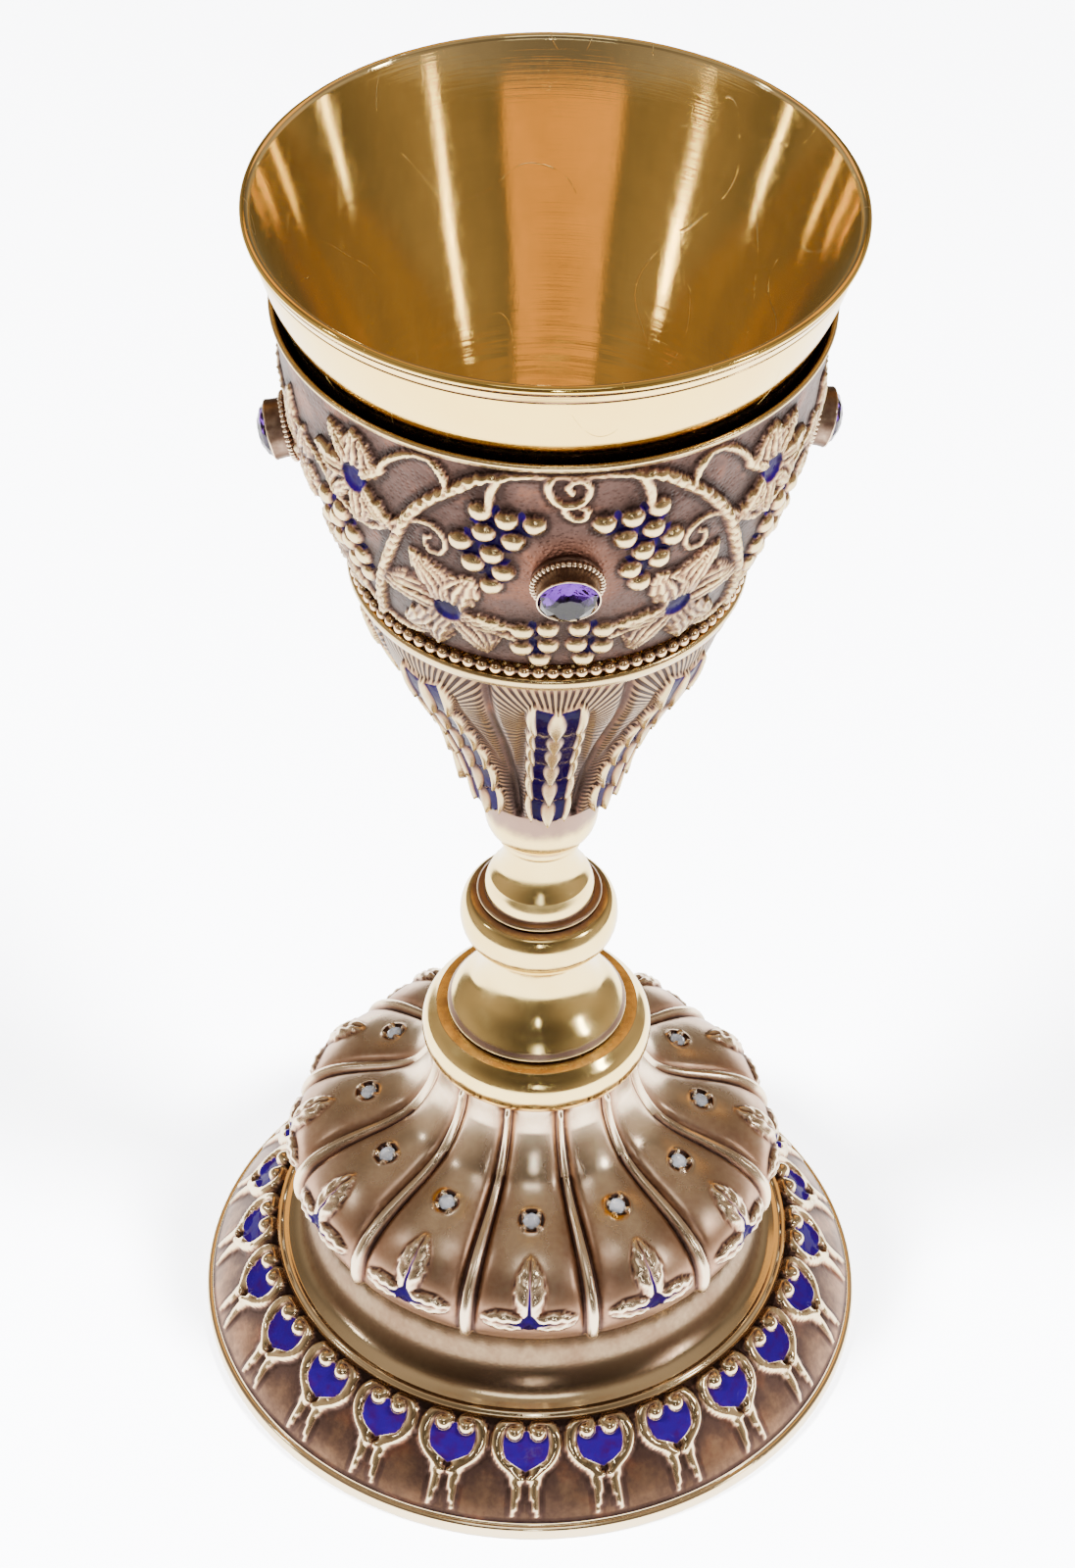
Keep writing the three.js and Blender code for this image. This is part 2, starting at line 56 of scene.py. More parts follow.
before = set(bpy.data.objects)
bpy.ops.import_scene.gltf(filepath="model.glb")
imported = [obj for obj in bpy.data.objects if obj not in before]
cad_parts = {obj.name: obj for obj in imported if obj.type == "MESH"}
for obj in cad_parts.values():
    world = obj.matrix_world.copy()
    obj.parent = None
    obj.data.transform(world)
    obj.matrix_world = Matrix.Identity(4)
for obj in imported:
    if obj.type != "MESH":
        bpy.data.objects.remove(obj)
CAD_LOW, CAD_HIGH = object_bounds()
CHALICE_HEIGHT = 245.0
MM = (CAD_HIGH.z - CAD_LOW.z) / CHALICE_HEIGHT

BODY = "root"
CUP_TURN = 4.4                  # how far the upper works are turned on the stem against the foot


def length(name, description, millimetres):
    """A distance that a user may change, with its default given in millimetres."""
    return FloatProperty(name=name, description=description, default=millimetres * MM, min=0.0,
                         precision=5, subtype="DISTANCE", unit="LENGTH")


def colour(name, description, value):
    """A colour that a user may change, with its default given in linear light."""
    return FloatVectorProperty(name=name, description=description, default=value, size=3,
                               min=0.0, max=1.0, subtype="COLOR")


class ChaliceOrnament(bpy.types.PropertyGroup):
    """Sizes of the ornament."""

    berry_width: length("Berry width", "Diameter of one grape on the shell", 3.7)
    berry_rise: length("Berry rise", "How far a grape stands out of the shell", 1.5)
    vine_width: length("Vine width", "Width of the vine's branches", 2.2)
    vine_rise: length("Vine rise", "How far the vine stands out of the shell", 1.2)
    leaf_rise: length("Leaf rise", "How far a vine leaf stands out of the shell", 1.25)
    bead_width: length("Bead width", "Diameter of one bead under the shell", 2.1)
    ear_rise: length("Ear rise", "How far a wheat ear stands out of the calyx", 1.3)
    lobe_groove: length("Lobe groove", "Depth of the grooves between the calyx's lobes", 1.2)
    foot_cord: length("Foot cord", "Width at the rim of the cords between the foot's lobes", 2.3)
    trefoil_rise: length("Trefoil rise", "How far a trefoil stands out of the foot", 1.1)
    scroll_width: length("Scroll width", "Width of the scrolls round the base's hearts", 2.0)
    scroll_rise: length("Scroll rise", "How far the scrolls stand out of the base", 1.25)


class ChaliceFinishes(bpy.types.PropertyGroup):
    """Colours of the metals, the enamel and the stones."""

    gilt: colour("Gilt", "Polished gold of the cup's inside", (0.95, 0.74, 0.34))
    pale_gilt: colour("Pale gilt", "Worn gilding on silver", (0.91, 0.69, 0.27))
    copper_gilt: colour("Coppery gilt", "Warm gilding of the bead ring and the bezels", (0.62, 0.28, 0.09))
    shell_ground: colour("Shell ground", "Tarnish in the hollows of the shell and calyx",
                         (0.10, 0.056, 0.046))
    foot_ground: colour("Foot ground", "Tarnish on the foot's satin ground", (0.105, 0.060, 0.048))
    enamel: colour("Enamel", "Translucent blue enamel", (0.0036, 0.0001, 0.028))
    amethyst: colour("Amethyst", "The large stones", (0.13, 0.035, 0.34))


class ChaliceStage(bpy.types.PropertyGroup):
    """Floor and light."""

    floor: colour("Floor", "The pale floor", (0.87, 0.885, 0.93))
    glow: FloatProperty(name="Floor glow", description="How brightly the lit table shines up", default=5.2,
                        min=0.0)
    key: FloatProperty(name="Key light", description="Light that the windows share", default=60.0,
                       min=0.0, unit="POWER")
    top: FloatProperty(name="Top light", description="Strength of the soft lights overhead", default=270.0,
                       min=0.0, unit="POWER")
    panel: colour("Wooden wall", "A wooden wall far behind, seen only as a reflection", (1.0, 0.50, 0.11))
    table: FloatProperty(name="Table", description="How far the lit table reaches", default=0.55, min=0.1,
                         subtype="DISTANCE", unit="LENGTH")
    room: colour("Room", "Dim light from the room around the table", (0.31, 0.25, 0.20))


def ornament():
    """The user's sizes of the ornament."""
    return bpy.context.scene.chalice_ornament


def finishes():
    """The user's colours."""
    return bpy.context.scene.chalice_finishes


# Profiles and relief

def flow(points, step, margin=0.08):
    """A smooth line through a few points, sampled about step apart and again close to its two ends.

    Between two neighbours it is the centripetal Catmull-Rom cubic of those two and the ones beyond them,
    worked out as Barry and Goldman's pyramid of linear blends. Chord lengths are then summed along the
    fine samples, and the line is read off at even distances."""
    line = np.asarray(points, float)
    if len(line) > 2:
        ends = [2 * line[0] - line[1], *line, 2 * line[-1] - line[-2]]
        p = np.array(ends)
        knots = np.concatenate([[0], np.cumsum(np.linalg.norm(np.diff(p, axis=0), axis=1) ** 0.5)])
        k = np.arange(len(line) - 1)
        t0, t1, t2, t3 = (knots[k + i][:, None, None] for i in range(4))
        p0, p1, p2, p3 = (p[k + i][:, None, :] for i in range(4))
        t = t1 + (t2 - t1) * np.linspace(0, 1, 24)[None, :, None]
        a1 = ((t1 - t) * p0 + (t - t0) * p1) / (t1 - t0)
        a2 = ((t2 - t) * p1 + (t - t1) * p2) / (t2 - t1)
        a3 = ((t3 - t) * p2 + (t - t2) * p3) / (t3 - t2)
        b1 = ((t2 - t) * a1 + (t - t0) * a2) / (t2 - t0)
        b2 = ((t3 - t) * a2 + (t - t1) * a3) / (t3 - t1)
        curve = ((t2 - t) * b1 + (t - t1) * b2) / (t2 - t1)
        line = curve.reshape(-1, line.shape[1])
        line = line[np.concatenate([[True], np.linalg.norm(np.diff(line, axis=0), axis=1) > 1e-9])]
    run = np.concatenate([[0], np.cumsum(np.linalg.norm(np.diff(line, axis=0), axis=1))])
    places = np.linspace(0, run[-1], max(2, math.ceil(run[-1] / step) + 1))
    if margin and run[-1] > 4 * margin:
        places = np.union1d(places, [margin, run[-1] - margin])
    return np.stack([np.interp(places, run, line[:, i]) for i in range(line.shape[1])], axis=1)


def outline(*stretches):
    """One profile of several smooth stretches, each (step, point, point, ...), that meet at corners."""
    parts = [flow(points, step) for step, *points in stretches]
    joined = [parts[0]]
    for part in parts[1:]:
        apart = np.linalg.norm(part[0] - joined[-1][-1]) > 1e-6
        joined.append(part if apart else part[1:])
    return np.vstack(joined)


def inset(points, wall):
    """A line moved inwards by a wall's thickness, against its outward normals."""
    line = np.asarray(points, float)
    along = np.gradient(line, axis=0)
    normal = np.stack([along[:, 1], -along[:, 0]], axis=1)
    return line - wall * normal / np.linalg.norm(normal, axis=1, keepdims=True)


def smoothstep(low, high, value):
    """0 below low, 1 above high, and 3t² - 2t³ between them."""
    t = np.clip((value - low) / (high - low), 0, 1)
    return t * t * (3 - 2 * t)


def half_round(distance, radius, rise):
    """A rise of half-round section: rise times the root of 1 - (distance / radius)²."""
    return rise * np.sqrt(np.clip(1 - (distance / radius) ** 2, 0, None))


def folded(azimuth, period):
    """Degrees to the nearest multiple of the period."""
    return (azimuth + period / 2) % period - period / 2


def nearest(x, y, line):
    """Distance to a line of (x, y) points, and the share of its length at the nearest place.

    For each piece of the line the point is dropped on it, kept between its ends, and the least distance
    is taken. A line's own x may be an array, for a surface whose radius changes from row to row."""
    best = np.full(np.broadcast(x, y).shape, 1e9)
    share = np.zeros(best.shape)
    pieces = len(line) - 1
    for k, ((x0, y0), (x1, y1)) in enumerate(zip(line[:-1], line[1:])):
        dx, dy = x1 - x0, y1 - y0
        t = np.clip(((x - x0) * dx + (y - y0) * dy) / (dx * dx + dy * dy + 1e-12), 0, 1)
        distance = np.hypot(x - x0 - t * dx, y - y0 - t * dy)
        closer = distance < best
        best = np.where(closer, distance, best)
        share = np.where(closer, (k + t) / pieces, share)
    return best, share


def soften(field, reach):
    """Mean over a square of neighbours that reaches so many rows and columns each way, round the axis."""
    span = range(-reach, reach + 1)
    across = sum(np.roll(field, k, axis=1) for k in span) / len(span)
    padded = np.pad(across, ((reach, reach), (0, 0)), mode="edge")
    return sum(padded[reach + k:reach + k + len(field)] for k in span) / len(span)


def worn(relief, reach, rise):
    """How bright wear has left the metal: 0 in hollows and 1 on crests, from the relief itself and from
    how far it stands above its surroundings, near and wide."""
    near = relief - soften(relief, reach)
    wide = relief - soften(relief, 4 * reach)
    return np.clip(0.24 + 0.20 * smoothstep(0, rise, relief) + (2.0 * near + 0.45 * wide) / rise, 0, 1)


def drift(azimuth, height, size, seed):
    """A smooth, irregular field between about -1 and 1: a sum of a few waves that close round the axis."""
    dice = np.random.default_rng(seed)
    total = 0
    for _ in range(6):
        turns = dice.integers(2, max(3, int(260 / size)))
        total = total + np.sin(np.radians(azimuth) * turns + height * dice.uniform(-2, 2) / size * 3
                               + dice.uniform(0, 6.28))
    return total / 3


class Skin:
    """A profile turned round the axis: rows along the profile, columns round it.

    Each row has its radius, height, distance along the profile and outward normal, which is the profile's
    own direction turned a quarter to the right. A point is the row's, moved out along that normal by the
    relief, and then turned to the column's azimuth."""

    def __init__(self, profile, columns, turn=0.0):
        self.profile = profile
        along = np.gradient(profile, axis=0)
        along /= np.linalg.norm(along, axis=1, keepdims=True)
        self.r, self.z = profile[:, :1], profile[:, 1:]
        self.nr, self.nz = along[:, 1:], -along[:, :1]
        steps = np.linalg.norm(np.diff(profile, axis=0), axis=1)
        self.s = np.concatenate([[0], np.cumsum(steps)])[:, None]
        self.azimuth = np.arange(columns)[None, :] * (360 / columns)
        self.turn = turn

    def points(self, relief):
        """Every point of the grid, raised by the relief and turned to its azimuth."""
        angle = np.radians(self.azimuth + self.turn)
        radius = self.r + relief * self.nr
        height = self.z + relief * self.nz + 0 * angle
        return np.stack([radius * np.sin(angle), -radius * np.cos(angle), height], axis=-1)

    def reach(self, height, first=0, last=None):
        """Distance along the profile where the rows from first to last come to a height."""
        rows = slice(first, last)
        z, s = self.z[rows, 0], self.s[rows, 0]
        order = np.argsort(z)
        return float(np.interp(height, z[order], s[order]))

    def zeros(self):
        """No relief at any point."""
        return np.zeros((len(self.r), self.azimuth.shape[1]))


def mesh_from(name, points, quads, triangles=(), fields=None, smooth=True):
    """A mesh of quads and triangles, in millimetres, with one number of each field at each point."""
    corners = np.concatenate([np.ravel(quads), np.ravel(triangles)]).astype(np.int32)
    sizes = np.concatenate([np.full(len(quads), 4), np.full(len(triangles), 3)]).astype(np.int32)
    mesh = bpy.data.meshes.new(name)
    mesh.vertices.add(len(points))
    mesh.vertices.foreach_set("co", (points * MM).astype(np.float32).ravel())
    mesh.loops.add(len(corners))
    mesh.loops.foreach_set("vertex_index", corners)
    mesh.polygons.add(len(sizes))
    mesh.polygons.foreach_set("loop_start", np.concatenate([[0], np.cumsum(sizes)[:-1]]).astype(np.int32))
    mesh.polygons.foreach_set("use_smooth", np.full(len(sizes), smooth))
    mesh.update(calc_edges=True)
    for field, values in (fields or {}).items():
        attribute = mesh.attributes.new(field, "FLOAT", "POINT")
        attribute.data.foreach_set("value", np.asarray(values, np.float32).ravel())
    if mesh.validate():
        raise RuntimeError(f"{name} had faces that Blender had to mend")
    return mesh


def woven(rows, columns, closed):
    """Quads between neighbouring rows and columns. Columns close round the axis, and rows too if closed."""
    row = np.arange(rows if closed else rows - 1)[:, None]
    column = np.arange(columns)[None, :]
    above, beside = (row + 1) % rows, (column + 1) % columns
    corners = [row * columns + column, row * columns + beside, above * columns + beside,
               above * columns + column]
    return np.stack(np.broadcast_arrays(*corners), axis=-1).reshape(-1, 4)


def turned_mesh(name, skin, relief=0.0, fields=None):
    """The mesh of a skin. A profile that starts and ends on the axis gets one point at each of its poles,
    and one that doesn't is a closed section, so its last row meets its first."""
    grid = skin.points(relief)
    rows, columns = grid.shape[:2]
    values = {key: np.broadcast_to(value, (rows, columns)) for key, value in (fields or {}).items()}
    if skin.r[0, 0] > 0:
        flat = {key: value.reshape(-1) for key, value in values.items()}
        return mesh_from(name, grid.reshape(-1, 3), woven(rows, columns, True), fields=flat)
    inner = grid[1:-1].reshape(-1, 3)
    low, high = len(inner), len(inner) + 1
    column = np.arange(columns)
    beside = (column + 1) % columns
    last = (rows - 3) * columns
    below = np.stack([np.full(columns, low), beside, column], axis=1)
    above = np.stack([last + column, last + beside, np.full(columns, high)], axis=1)
    points = np.vstack([inner, grid[0, 0], grid[-1, 0]])
    flat = {key: np.concatenate([value[1:-1].reshape(-1), value[0, :1], value[-1, :1]])
            for key, value in values.items()}
    quads = woven(rows - 2, columns, False)
    return mesh_from(name, points, quads, np.vstack([below, above]), flat)


def add_piece(name, mesh, finish, slot, *nodes):
    """Puts a finished mesh in the scene, riding on the one body and standing for its CAD nodes."""
    piece = bpy.data.objects.new(name, mesh)
    bpy.context.scene.collection.objects.link(piece)
    mesh.materials.append(finish)
    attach(piece, BODY)
    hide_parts(*nodes)
    return piece


# Shader maths

class Value:
    """A socket that can stand in a Python expression. Each operator adds one Math node."""

    def __init__(self, finish, socket):
        self.finish = finish
        self.socket = socket

    def math(self, operation, *others):
        """A Math node on this value and up to two more."""
        return self.finish.node("ShaderNodeMath", {"operation": operation}, dict(enumerate((self, *others))))

    def __add__(self, other):
        return self.math("ADD", other)

    def __sub__(self, other):
        return self.math("SUBTRACT", other)

    def __rsub__(self, other):
        return self.math("MULTIPLY_ADD", -1.0, other)

    def __mul__(self, other):
        return self.math("MULTIPLY", other)

    __radd__ = __add__
    __rmul__ = __mul__


class Finish:
    """A procedural material, its one node-making method and the few patterns that the finishes share."""

    def __init__(self, name):
        self.material = bpy.data.materials.new(name)
        self.material.use_nodes = True
        self.tree = self.material.node_tree
        self.tree.nodes.clear()
        self.place = self.node("ShaderNodeTexCoord", output="Object")

    def node(self, kind, settings=None, sockets=None, output=0):
        """Adds a node: its settings first, then the value or link of each socket."""
        node = self.tree.nodes.new(kind)
        for key, value in (settings or {}).items():
            setattr(node, key, value)
        for key, value in (sockets or {}).items():
            if isinstance(value, Value):
                self.tree.links.new(value.socket, node.inputs[key])
            else:
                node.inputs[key].default_value = value
        return Value(self, node.outputs[output])

    def field(self, name):
        """A number that the mesh holds at each of its points."""
        return self.node("ShaderNodeAttribute", {"attribute_name": name}, output="Fac")

    def noise(self, size, detail=3.0, stretch=None, roughness=0.55):
        """Noise whose features are about size millimetres, stretched along an axis if asked."""
        place = self.place
        if stretch:
            place = self.node("ShaderNodeMapping", {"vector_type": "POINT"},
                              {"Vector": place, "Scale": stretch})
        return self.node("ShaderNodeTexNoise", {"noise_dimensions": "3D"},
                         {"Vector": place, "Scale": 1 / (size * MM), "Detail": detail,
                          "Roughness": roughness})

    def cells(self, size):
        """Distance to the middle of the nearest cell, about size millimetres across."""
        return self.node("ShaderNodeTexVoronoi", {"feature": "F1"},
                         {"Vector": self.place, "Scale": 1 / (size * MM)})

    def ramp(self, value, low, high, start=0.0, end=1.0):
        """Smoothly from start to end while the value goes from low to high."""
        return self.node("ShaderNodeMapRange", {"interpolation_type": "SMOOTHSTEP"},
                         {"Value": value, "From Min": low, "From Max": high, "To Min": start,
                          "To Max": end})

    def blend(self, factor, first, second):
        """The first colour turning into the second as the factor goes from 0 to 1."""
        sockets = {"Factor": factor, 6: self.shade(first), 7: self.shade(second)}
        return self.node("ShaderNodeMix", {"data_type": "RGBA"}, sockets, output=2)

    @staticmethod
    def shade(value):
        """A colour as a socket takes it, opaque where it is plain numbers."""
        return value if isinstance(value, Value) else (*value, 1.0)

    def bump(self, height, depth, strength=1.0, normal=None):
        """A normal bent by a height of 0 to 1 that stands for so many millimetres."""
        sockets = {"Height": height, "Distance": depth * MM, "Strength": strength}
        if normal:
            sockets["Normal"] = normal
        return self.node("ShaderNodeBump", {}, sockets, output="Normal")

    def surface(self, **sockets):
        """Ends the material in one Principled shader, with underscores for the spaces in its sockets."""
        values = {key.replace("_", " "): value for key, value in sockets.items()}
        shader = self.node("ShaderNodeBsdfPrincipled", {}, values)
        end = self.tree.nodes.new("ShaderNodeOutputMaterial")
        self.tree.links.new(shader.socket, end.inputs["Surface"])
        return self.material


# Finishes

LOST_LIGHT = 0.03               # stands for light that a bowl throws about for longer than it is followed
WORN_GILT = (0.96, 0.68, 0.19)
DEEP_WORN_GILT = (0.92, 0.60, 0.16)
# The groove stain is also painted shade low on the cup's band.
GROOVE_STAIN_AND_SHADE = (0.40, 0.22, 0.16)
# The purple stain is also painted shade in the bulb's top recess.
PURPLE_STAIN_AND_SHADE = (0.24, 0.14, 0.13)
ORANGE_POLISH = (0.80, 0.36, 0.05)


def polished_gilt():
    """Mirror gold: rich inside the cup, paler and worn outside, with fine turning lines and scratches."""
    f = Finish("polished_gilt")
    outside = f.field("outside")
    cloud = f.ramp(f.noise(9, 4), 0.35, 0.7)
    rich = f.blend(cloud * 0.5, finishes().gilt, [0.82 * c for c in finishes().gilt])
    pale = f.blend(cloud * 0.4, WORN_GILT, DEEP_WORN_GILT)
    shade = f.blend(outside, rich, pale)
    # Stain in the lip's grooves, and painted shade on the band just above the shell's rim
    shade = f.blend(f.field("tarnish_and_shade"), shade, GROOVE_STAIN_AND_SHADE)
    lines = f.noise(2.2, 2, stretch=(0.08, 0.08, 9))
    hairs = f.noise(1.2, 6, stretch=(1, 0.12, 0.3), roughness=0.7)
    wave = f.noise(16, 1, stretch=(1, 1, 0.25))
    contour = (f.noise(24, 1, stretch=(1, 1, 0.6)) - 0.5).math("ABSOLUTE")
    scratch = f.ramp(contour, 0.0, 0.0014, 1.0, 0.0) * f.ramp(f.noise(6, 3), 0.48, 0.6)
    normal = f.bump(wave, 0.35, 0.38)
    normal = f.bump(lines, 0.03, 0.3, normal)
    normal = f.bump(f.noise(6, 2, stretch=(0.3, 0.3, 4)), 0.12, f.field("ripple") * 0.6, normal)
    normal = f.bump(hairs, 0.02, 0.35, normal)
    normal = f.bump(scratch, 0.05, 0.6, normal)
    rough = f.ramp(hairs, 0.3, 0.75, 0.035, 0.11) + f.field("tarnish_and_shade") * 0.2 + scratch * 0.25
    lost = f.blend(outside, finishes().gilt, (0, 0, 0))
    return f.surface(Base_Color=shade, Metallic=1.0, Roughness=rough, Normal=normal, Emission_Color=lost,
                     Emission_Strength=LOST_LIGHT)


def pale_gilt():
    """Satin to polished champagne gilding, with purple tarnish left in the creases."""
    f = Finish("pale_gilt")
    cloud = f.ramp(f.noise(7, 4), 0.35, 0.7)
    base = finishes().pale_gilt
    shade = f.blend(cloud * 0.5, base, (base[0] * 0.9, base[1] * 0.86, base[2] * 0.78))
    # Tarnish in the creases, and painted shade in the bulb's top recess
    stain_and_shade = f.ramp(f.field("tarnish_and_shade") + f.noise(2.4, 5) * 0.35, 0.50, 0.95)
    shade = f.blend(stain_and_shade * 0.9, shade, PURPLE_STAIN_AND_SHADE)
    lines = f.noise(3, 3, stretch=(0.1, 0.1, 8))
    rough = f.ramp(f.noise(5, 5), 0.3, 0.75, 0.10, 0.22) + stain_and_shade * 0.25
    normal = f.bump(f.noise(12, 2), 0.25, 0.3)
    return f.surface(Base_Color=shade, Metallic=1.0, Roughness=rough,
                     Normal=f.bump(lines, 0.015, 0.3, normal))


def embossed(name, ground, crest, stipple, gloss, depth):
    """Chased metal: dark stippled ground, bright worn crests and glassy blue enamel, by the mesh's fields.

    The tone goes from a near black crease through the ground and a rosy satin to the worn crest. A line is
    cut wherever the count of flutes is whole. Copper reddens the ground, dim draws all towards the crease,
    and rust is where orange polish was left."""
    f = Finish(name)
    tone, enamel = f.field("tone"), f.ramp(f.field("enamel"), -0.12, 0.12)
    patch = f.noise(7, 5)
    line = f.ramp((f.field("flute") * math.tau).math("COSINE"), -0.45, 0.6) * f.field("fluted")
    light = tone + (patch - 0.5) * 0.30 + (f.noise(1.1, 5) - 0.5) * 0.15 - line * 0.8
    rosy = [0.62 * a + 0.38 * b * c for a, b, c in zip(ground, crest, (1.0, 0.72, 0.62))]
    crease = [0.30 * c for c in ground]
    copper = (ground[0] * 2.6, ground[1] * 1.7, ground[2] * 1.05)
    earth = f.blend(f.ramp(patch, 0.52, 0.72, 0, 0.5) + f.field("copper"), ground, copper)
    shade = f.blend(f.ramp(light, 0.0, 0.24), crease, earth)
    shade = f.blend(f.ramp(light, 0.25, 0.55), shade, rosy)
    shade = f.blend(f.ramp(light, 0.5, 1.0), shade, crest)
    # Dim: painted shade on the shell's lower ground and the base's neck, and a darker tone on the calyx
    shade = f.blend(f.field("dim"), shade, crease)
    left = f.ramp(f.field("rust") * f.ramp(f.noise(2.4, 3), 0.3, 0.6), 0.05, 0.7)
    shade = f.blend(left, shade, ORANGE_POLISH)
    glass = finishes().enamel
    blue = f.blend(f.ramp(f.noise(2.2, 4), 0.4, 0.75), glass, (glass[0] * 1.6, glass[1] * 2, glass[2] * 0.55))
    pits = f.ramp(f.cells(stipple), 0.1, 0.6)
    normal = f.bump(pits, depth, (1 - enamel) * (1 - tone * 0.9) * 0.8)
    normal = f.bump(f.noise(0.5, 4), 0.4 * depth, (1 - enamel) * (1 - tone) * 0.7, normal)
    normal = f.bump(f.noise(2.4, 2), 0.25, enamel * 0.35, normal)
    normal = f.bump(1 - line, 0.16, 1.0, normal)
    rough = f.ramp(light, 0.1, 0.95, 0.50, gloss)
    return f.surface(Base_Color=f.blend(enamel, shade, blue), Metallic=1 - enamel,
                     Roughness=rough * (1 - enamel) + enamel * 0.07, Normal=normal,
                     Specular_IOR_Level=0.02)


def copper_gilt(name, crest):
    """Warm worn gilding over copper, darker and browner where it doesn't get rubbed."""
    f = Finish(name)
    base = finishes().copper_gilt
    tone = f.field("tone")
    light = f.ramp(tone + (f.noise(1.6, 5) - 0.5) * 0.5, 0.1, 0.8)
    dark = (0.26 * base[0], 0.34 * base[1], 0.75 * base[2])
    shade = f.blend(light, dark, crest)
    normal = f.bump(f.noise(0.6, 4), 0.03, 0.4)
    return f.surface(Base_Color=shade, Metallic=1.0, Roughness=f.ramp(light, 0, 1, 0.42, 0.17), Normal=normal)


def cut_stone(name, tint, ior, cloud, clarity):
    """Clear cut glass with a faint cloud of deeper colour."""
    f = Finish(name)
    deep = [c * cloud for c in tint]
    shade = f.blend(f.ramp(f.noise(3, 2), 0.35, 0.7), tint, deep)
    return f.surface(Base_Color=shade, Roughness=0.02, IOR=ior, Transmission_Weight=clarity)


# The upper works

SHELL_PROFILE = ((30.85, 180.4), (34.0, 188.0), (37.3, 197.0), (39.8, 206.0), (41.3, 215.0),
                 (42.0, 222.0), (42.5, 226.6))
SHELL_RIM = ((0.3, (42.5, 226.6), (42.75, 227.2)),
             (0.2, (42.75, 227.2), (43.25, 227.6), (43.3, 228.0), (43.0, 228.3), (42.5, 228.2),
              (42.25, 227.7)))
SHELL_SEAT = ((30.0, 181.4), (25.6, 181.4), (25.6, 180.4))
SHELL_WALL = 1.0
SHELL_CREST = (0.80, 0.61, 0.29)
SHELL_COLUMNS = 704
STONE_HEIGHT = 204.5
STONE_REACH = 6.3               # the ground is left plain this far from a stone's middle

# Half of the shell's front panel, from its middle out, as (azimuth, height)
VINE_ARCH = ((0, 227.0), (9.5, 226.4), (17.5, 224.7), (25, 220.5), (29.5, 217.5), (34.4, 213), (40.8, 204),
             (47, 195), (52, 188), (55.8, 182.5))
SPANDREL_BRANCH = ((24.8, 221), (27.8, 225.4), (32.5, 225.8), (37.8, 223), (42, 219), (47, 216.5))
LOW_BRANCH = ((56.8, 185), (53.8, 183), (47.8, 181.9), (37.8, 184), (31.8, 187), (28.5, 192))
SIDE_BRANCH = ((34.4, 213), (45, 207), (54, 208.5), (62, 213.5), (70, 215.5), (80, 217), (90, 218))
FOOT_BRANCH = ((55.8, 182.5), (62, 186), (68, 190), (77, 192.5), (84, 189), (90, 187.5))
BUNCH_STALK = ((14, 225.2), (15.8, 222), (16.4, 218))
TOP_TENDRIL = ((-3.2, 226.6), (-4.6, 224.4), (-3.6, 221.6), (-0.4, 220.2), (3.0, 221.4), (3.8, 224.0),
               (1.6, 225.4), (-0.8, 224.2), (0.2, 222.8))
LOW_TENDRIL = ((-1.2, 219.4), (0.2, 217.8), (2.8, 217.6), (3.8, 219.0), (2.4, 219.8))
SIDE_SPIRAL = ((36.5, 210.5), (32.5, 212.6), (28, 212.4), (25.6, 209.6), (27.2, 206.8), (30.4, 207.2),
               (30.8, 209.4), (29, 210))
LEAF_STALK = ((28.3, 193.5), (22, 191), (16.5, 189.6), (12.5, 188.4))
BUNCH = ((18, 218.1), (12.8, 216.9), (7.2, 216.4), (17.4, 213.9), (22.3, 211.2), (11.6, 212.7),
         (15.9, 209.4), (20, 206.9), (13.6, 205.7), (16.4, 202.2))
SMALL_BUNCH = ((4.0, 191.8), (10.3, 191.0), (3.9, 187.2), (10.9, 186.1), (6.2, 183.0))
SIDE_BUNCH = ((61, 206), (55.5, 205.2), (58.4, 202.3), (53.2, 201.4), (62.2, 201.2), (56.2, 198.4),
              (60, 197.6), (52.6, 197), (56.8, 194.2), (53.4, 192.6))
LOW_LEAF = (28.3, 193.5)
LOW_LEAF_TIPS = ((35.5, 206.2, 0.27), (20.3, 203.2, 0.42), (12.4, 191.5, 0.29), (20.5, 183.2, 0.31),
                 (34.5, 181.8, 0.29), (43.5, 184.5, 0.32), (47.8, 195.5, 0.35), (27, 202.0, 0.29))
HIGH_LEAF = (48, 215.8)
HIGH_LEAF_TIPS = ((46.6, 225.5, 0.38), (39.0, 220.5, 0.29), (38.6, 208.5, 0.32), (49.5, 205.8, 0.29),
                  (57.0, 208.5, 0.32), (61.0, 217.5, 0.35), (54.5, 224.5, 0.29))
SIDE_LEAF = (72, 209)
SIDE_LEAF_TIPS = ((66, 217, 0.29), (73, 221.5, 0.27), (79.5, 215, 0.29), (64, 205, 0.27),
                  (72, 199.5, 0.27), (80, 205.5, 0.27))
FOOT_LEAF = (66, 190.5)
FOOT_LEAF_TIPS = ((60, 185, 0.29), (67, 181.8, 0.29), (74.5, 185, 0.29), (76, 192.5, 0.29),
                  (70, 198.5, 0.32))


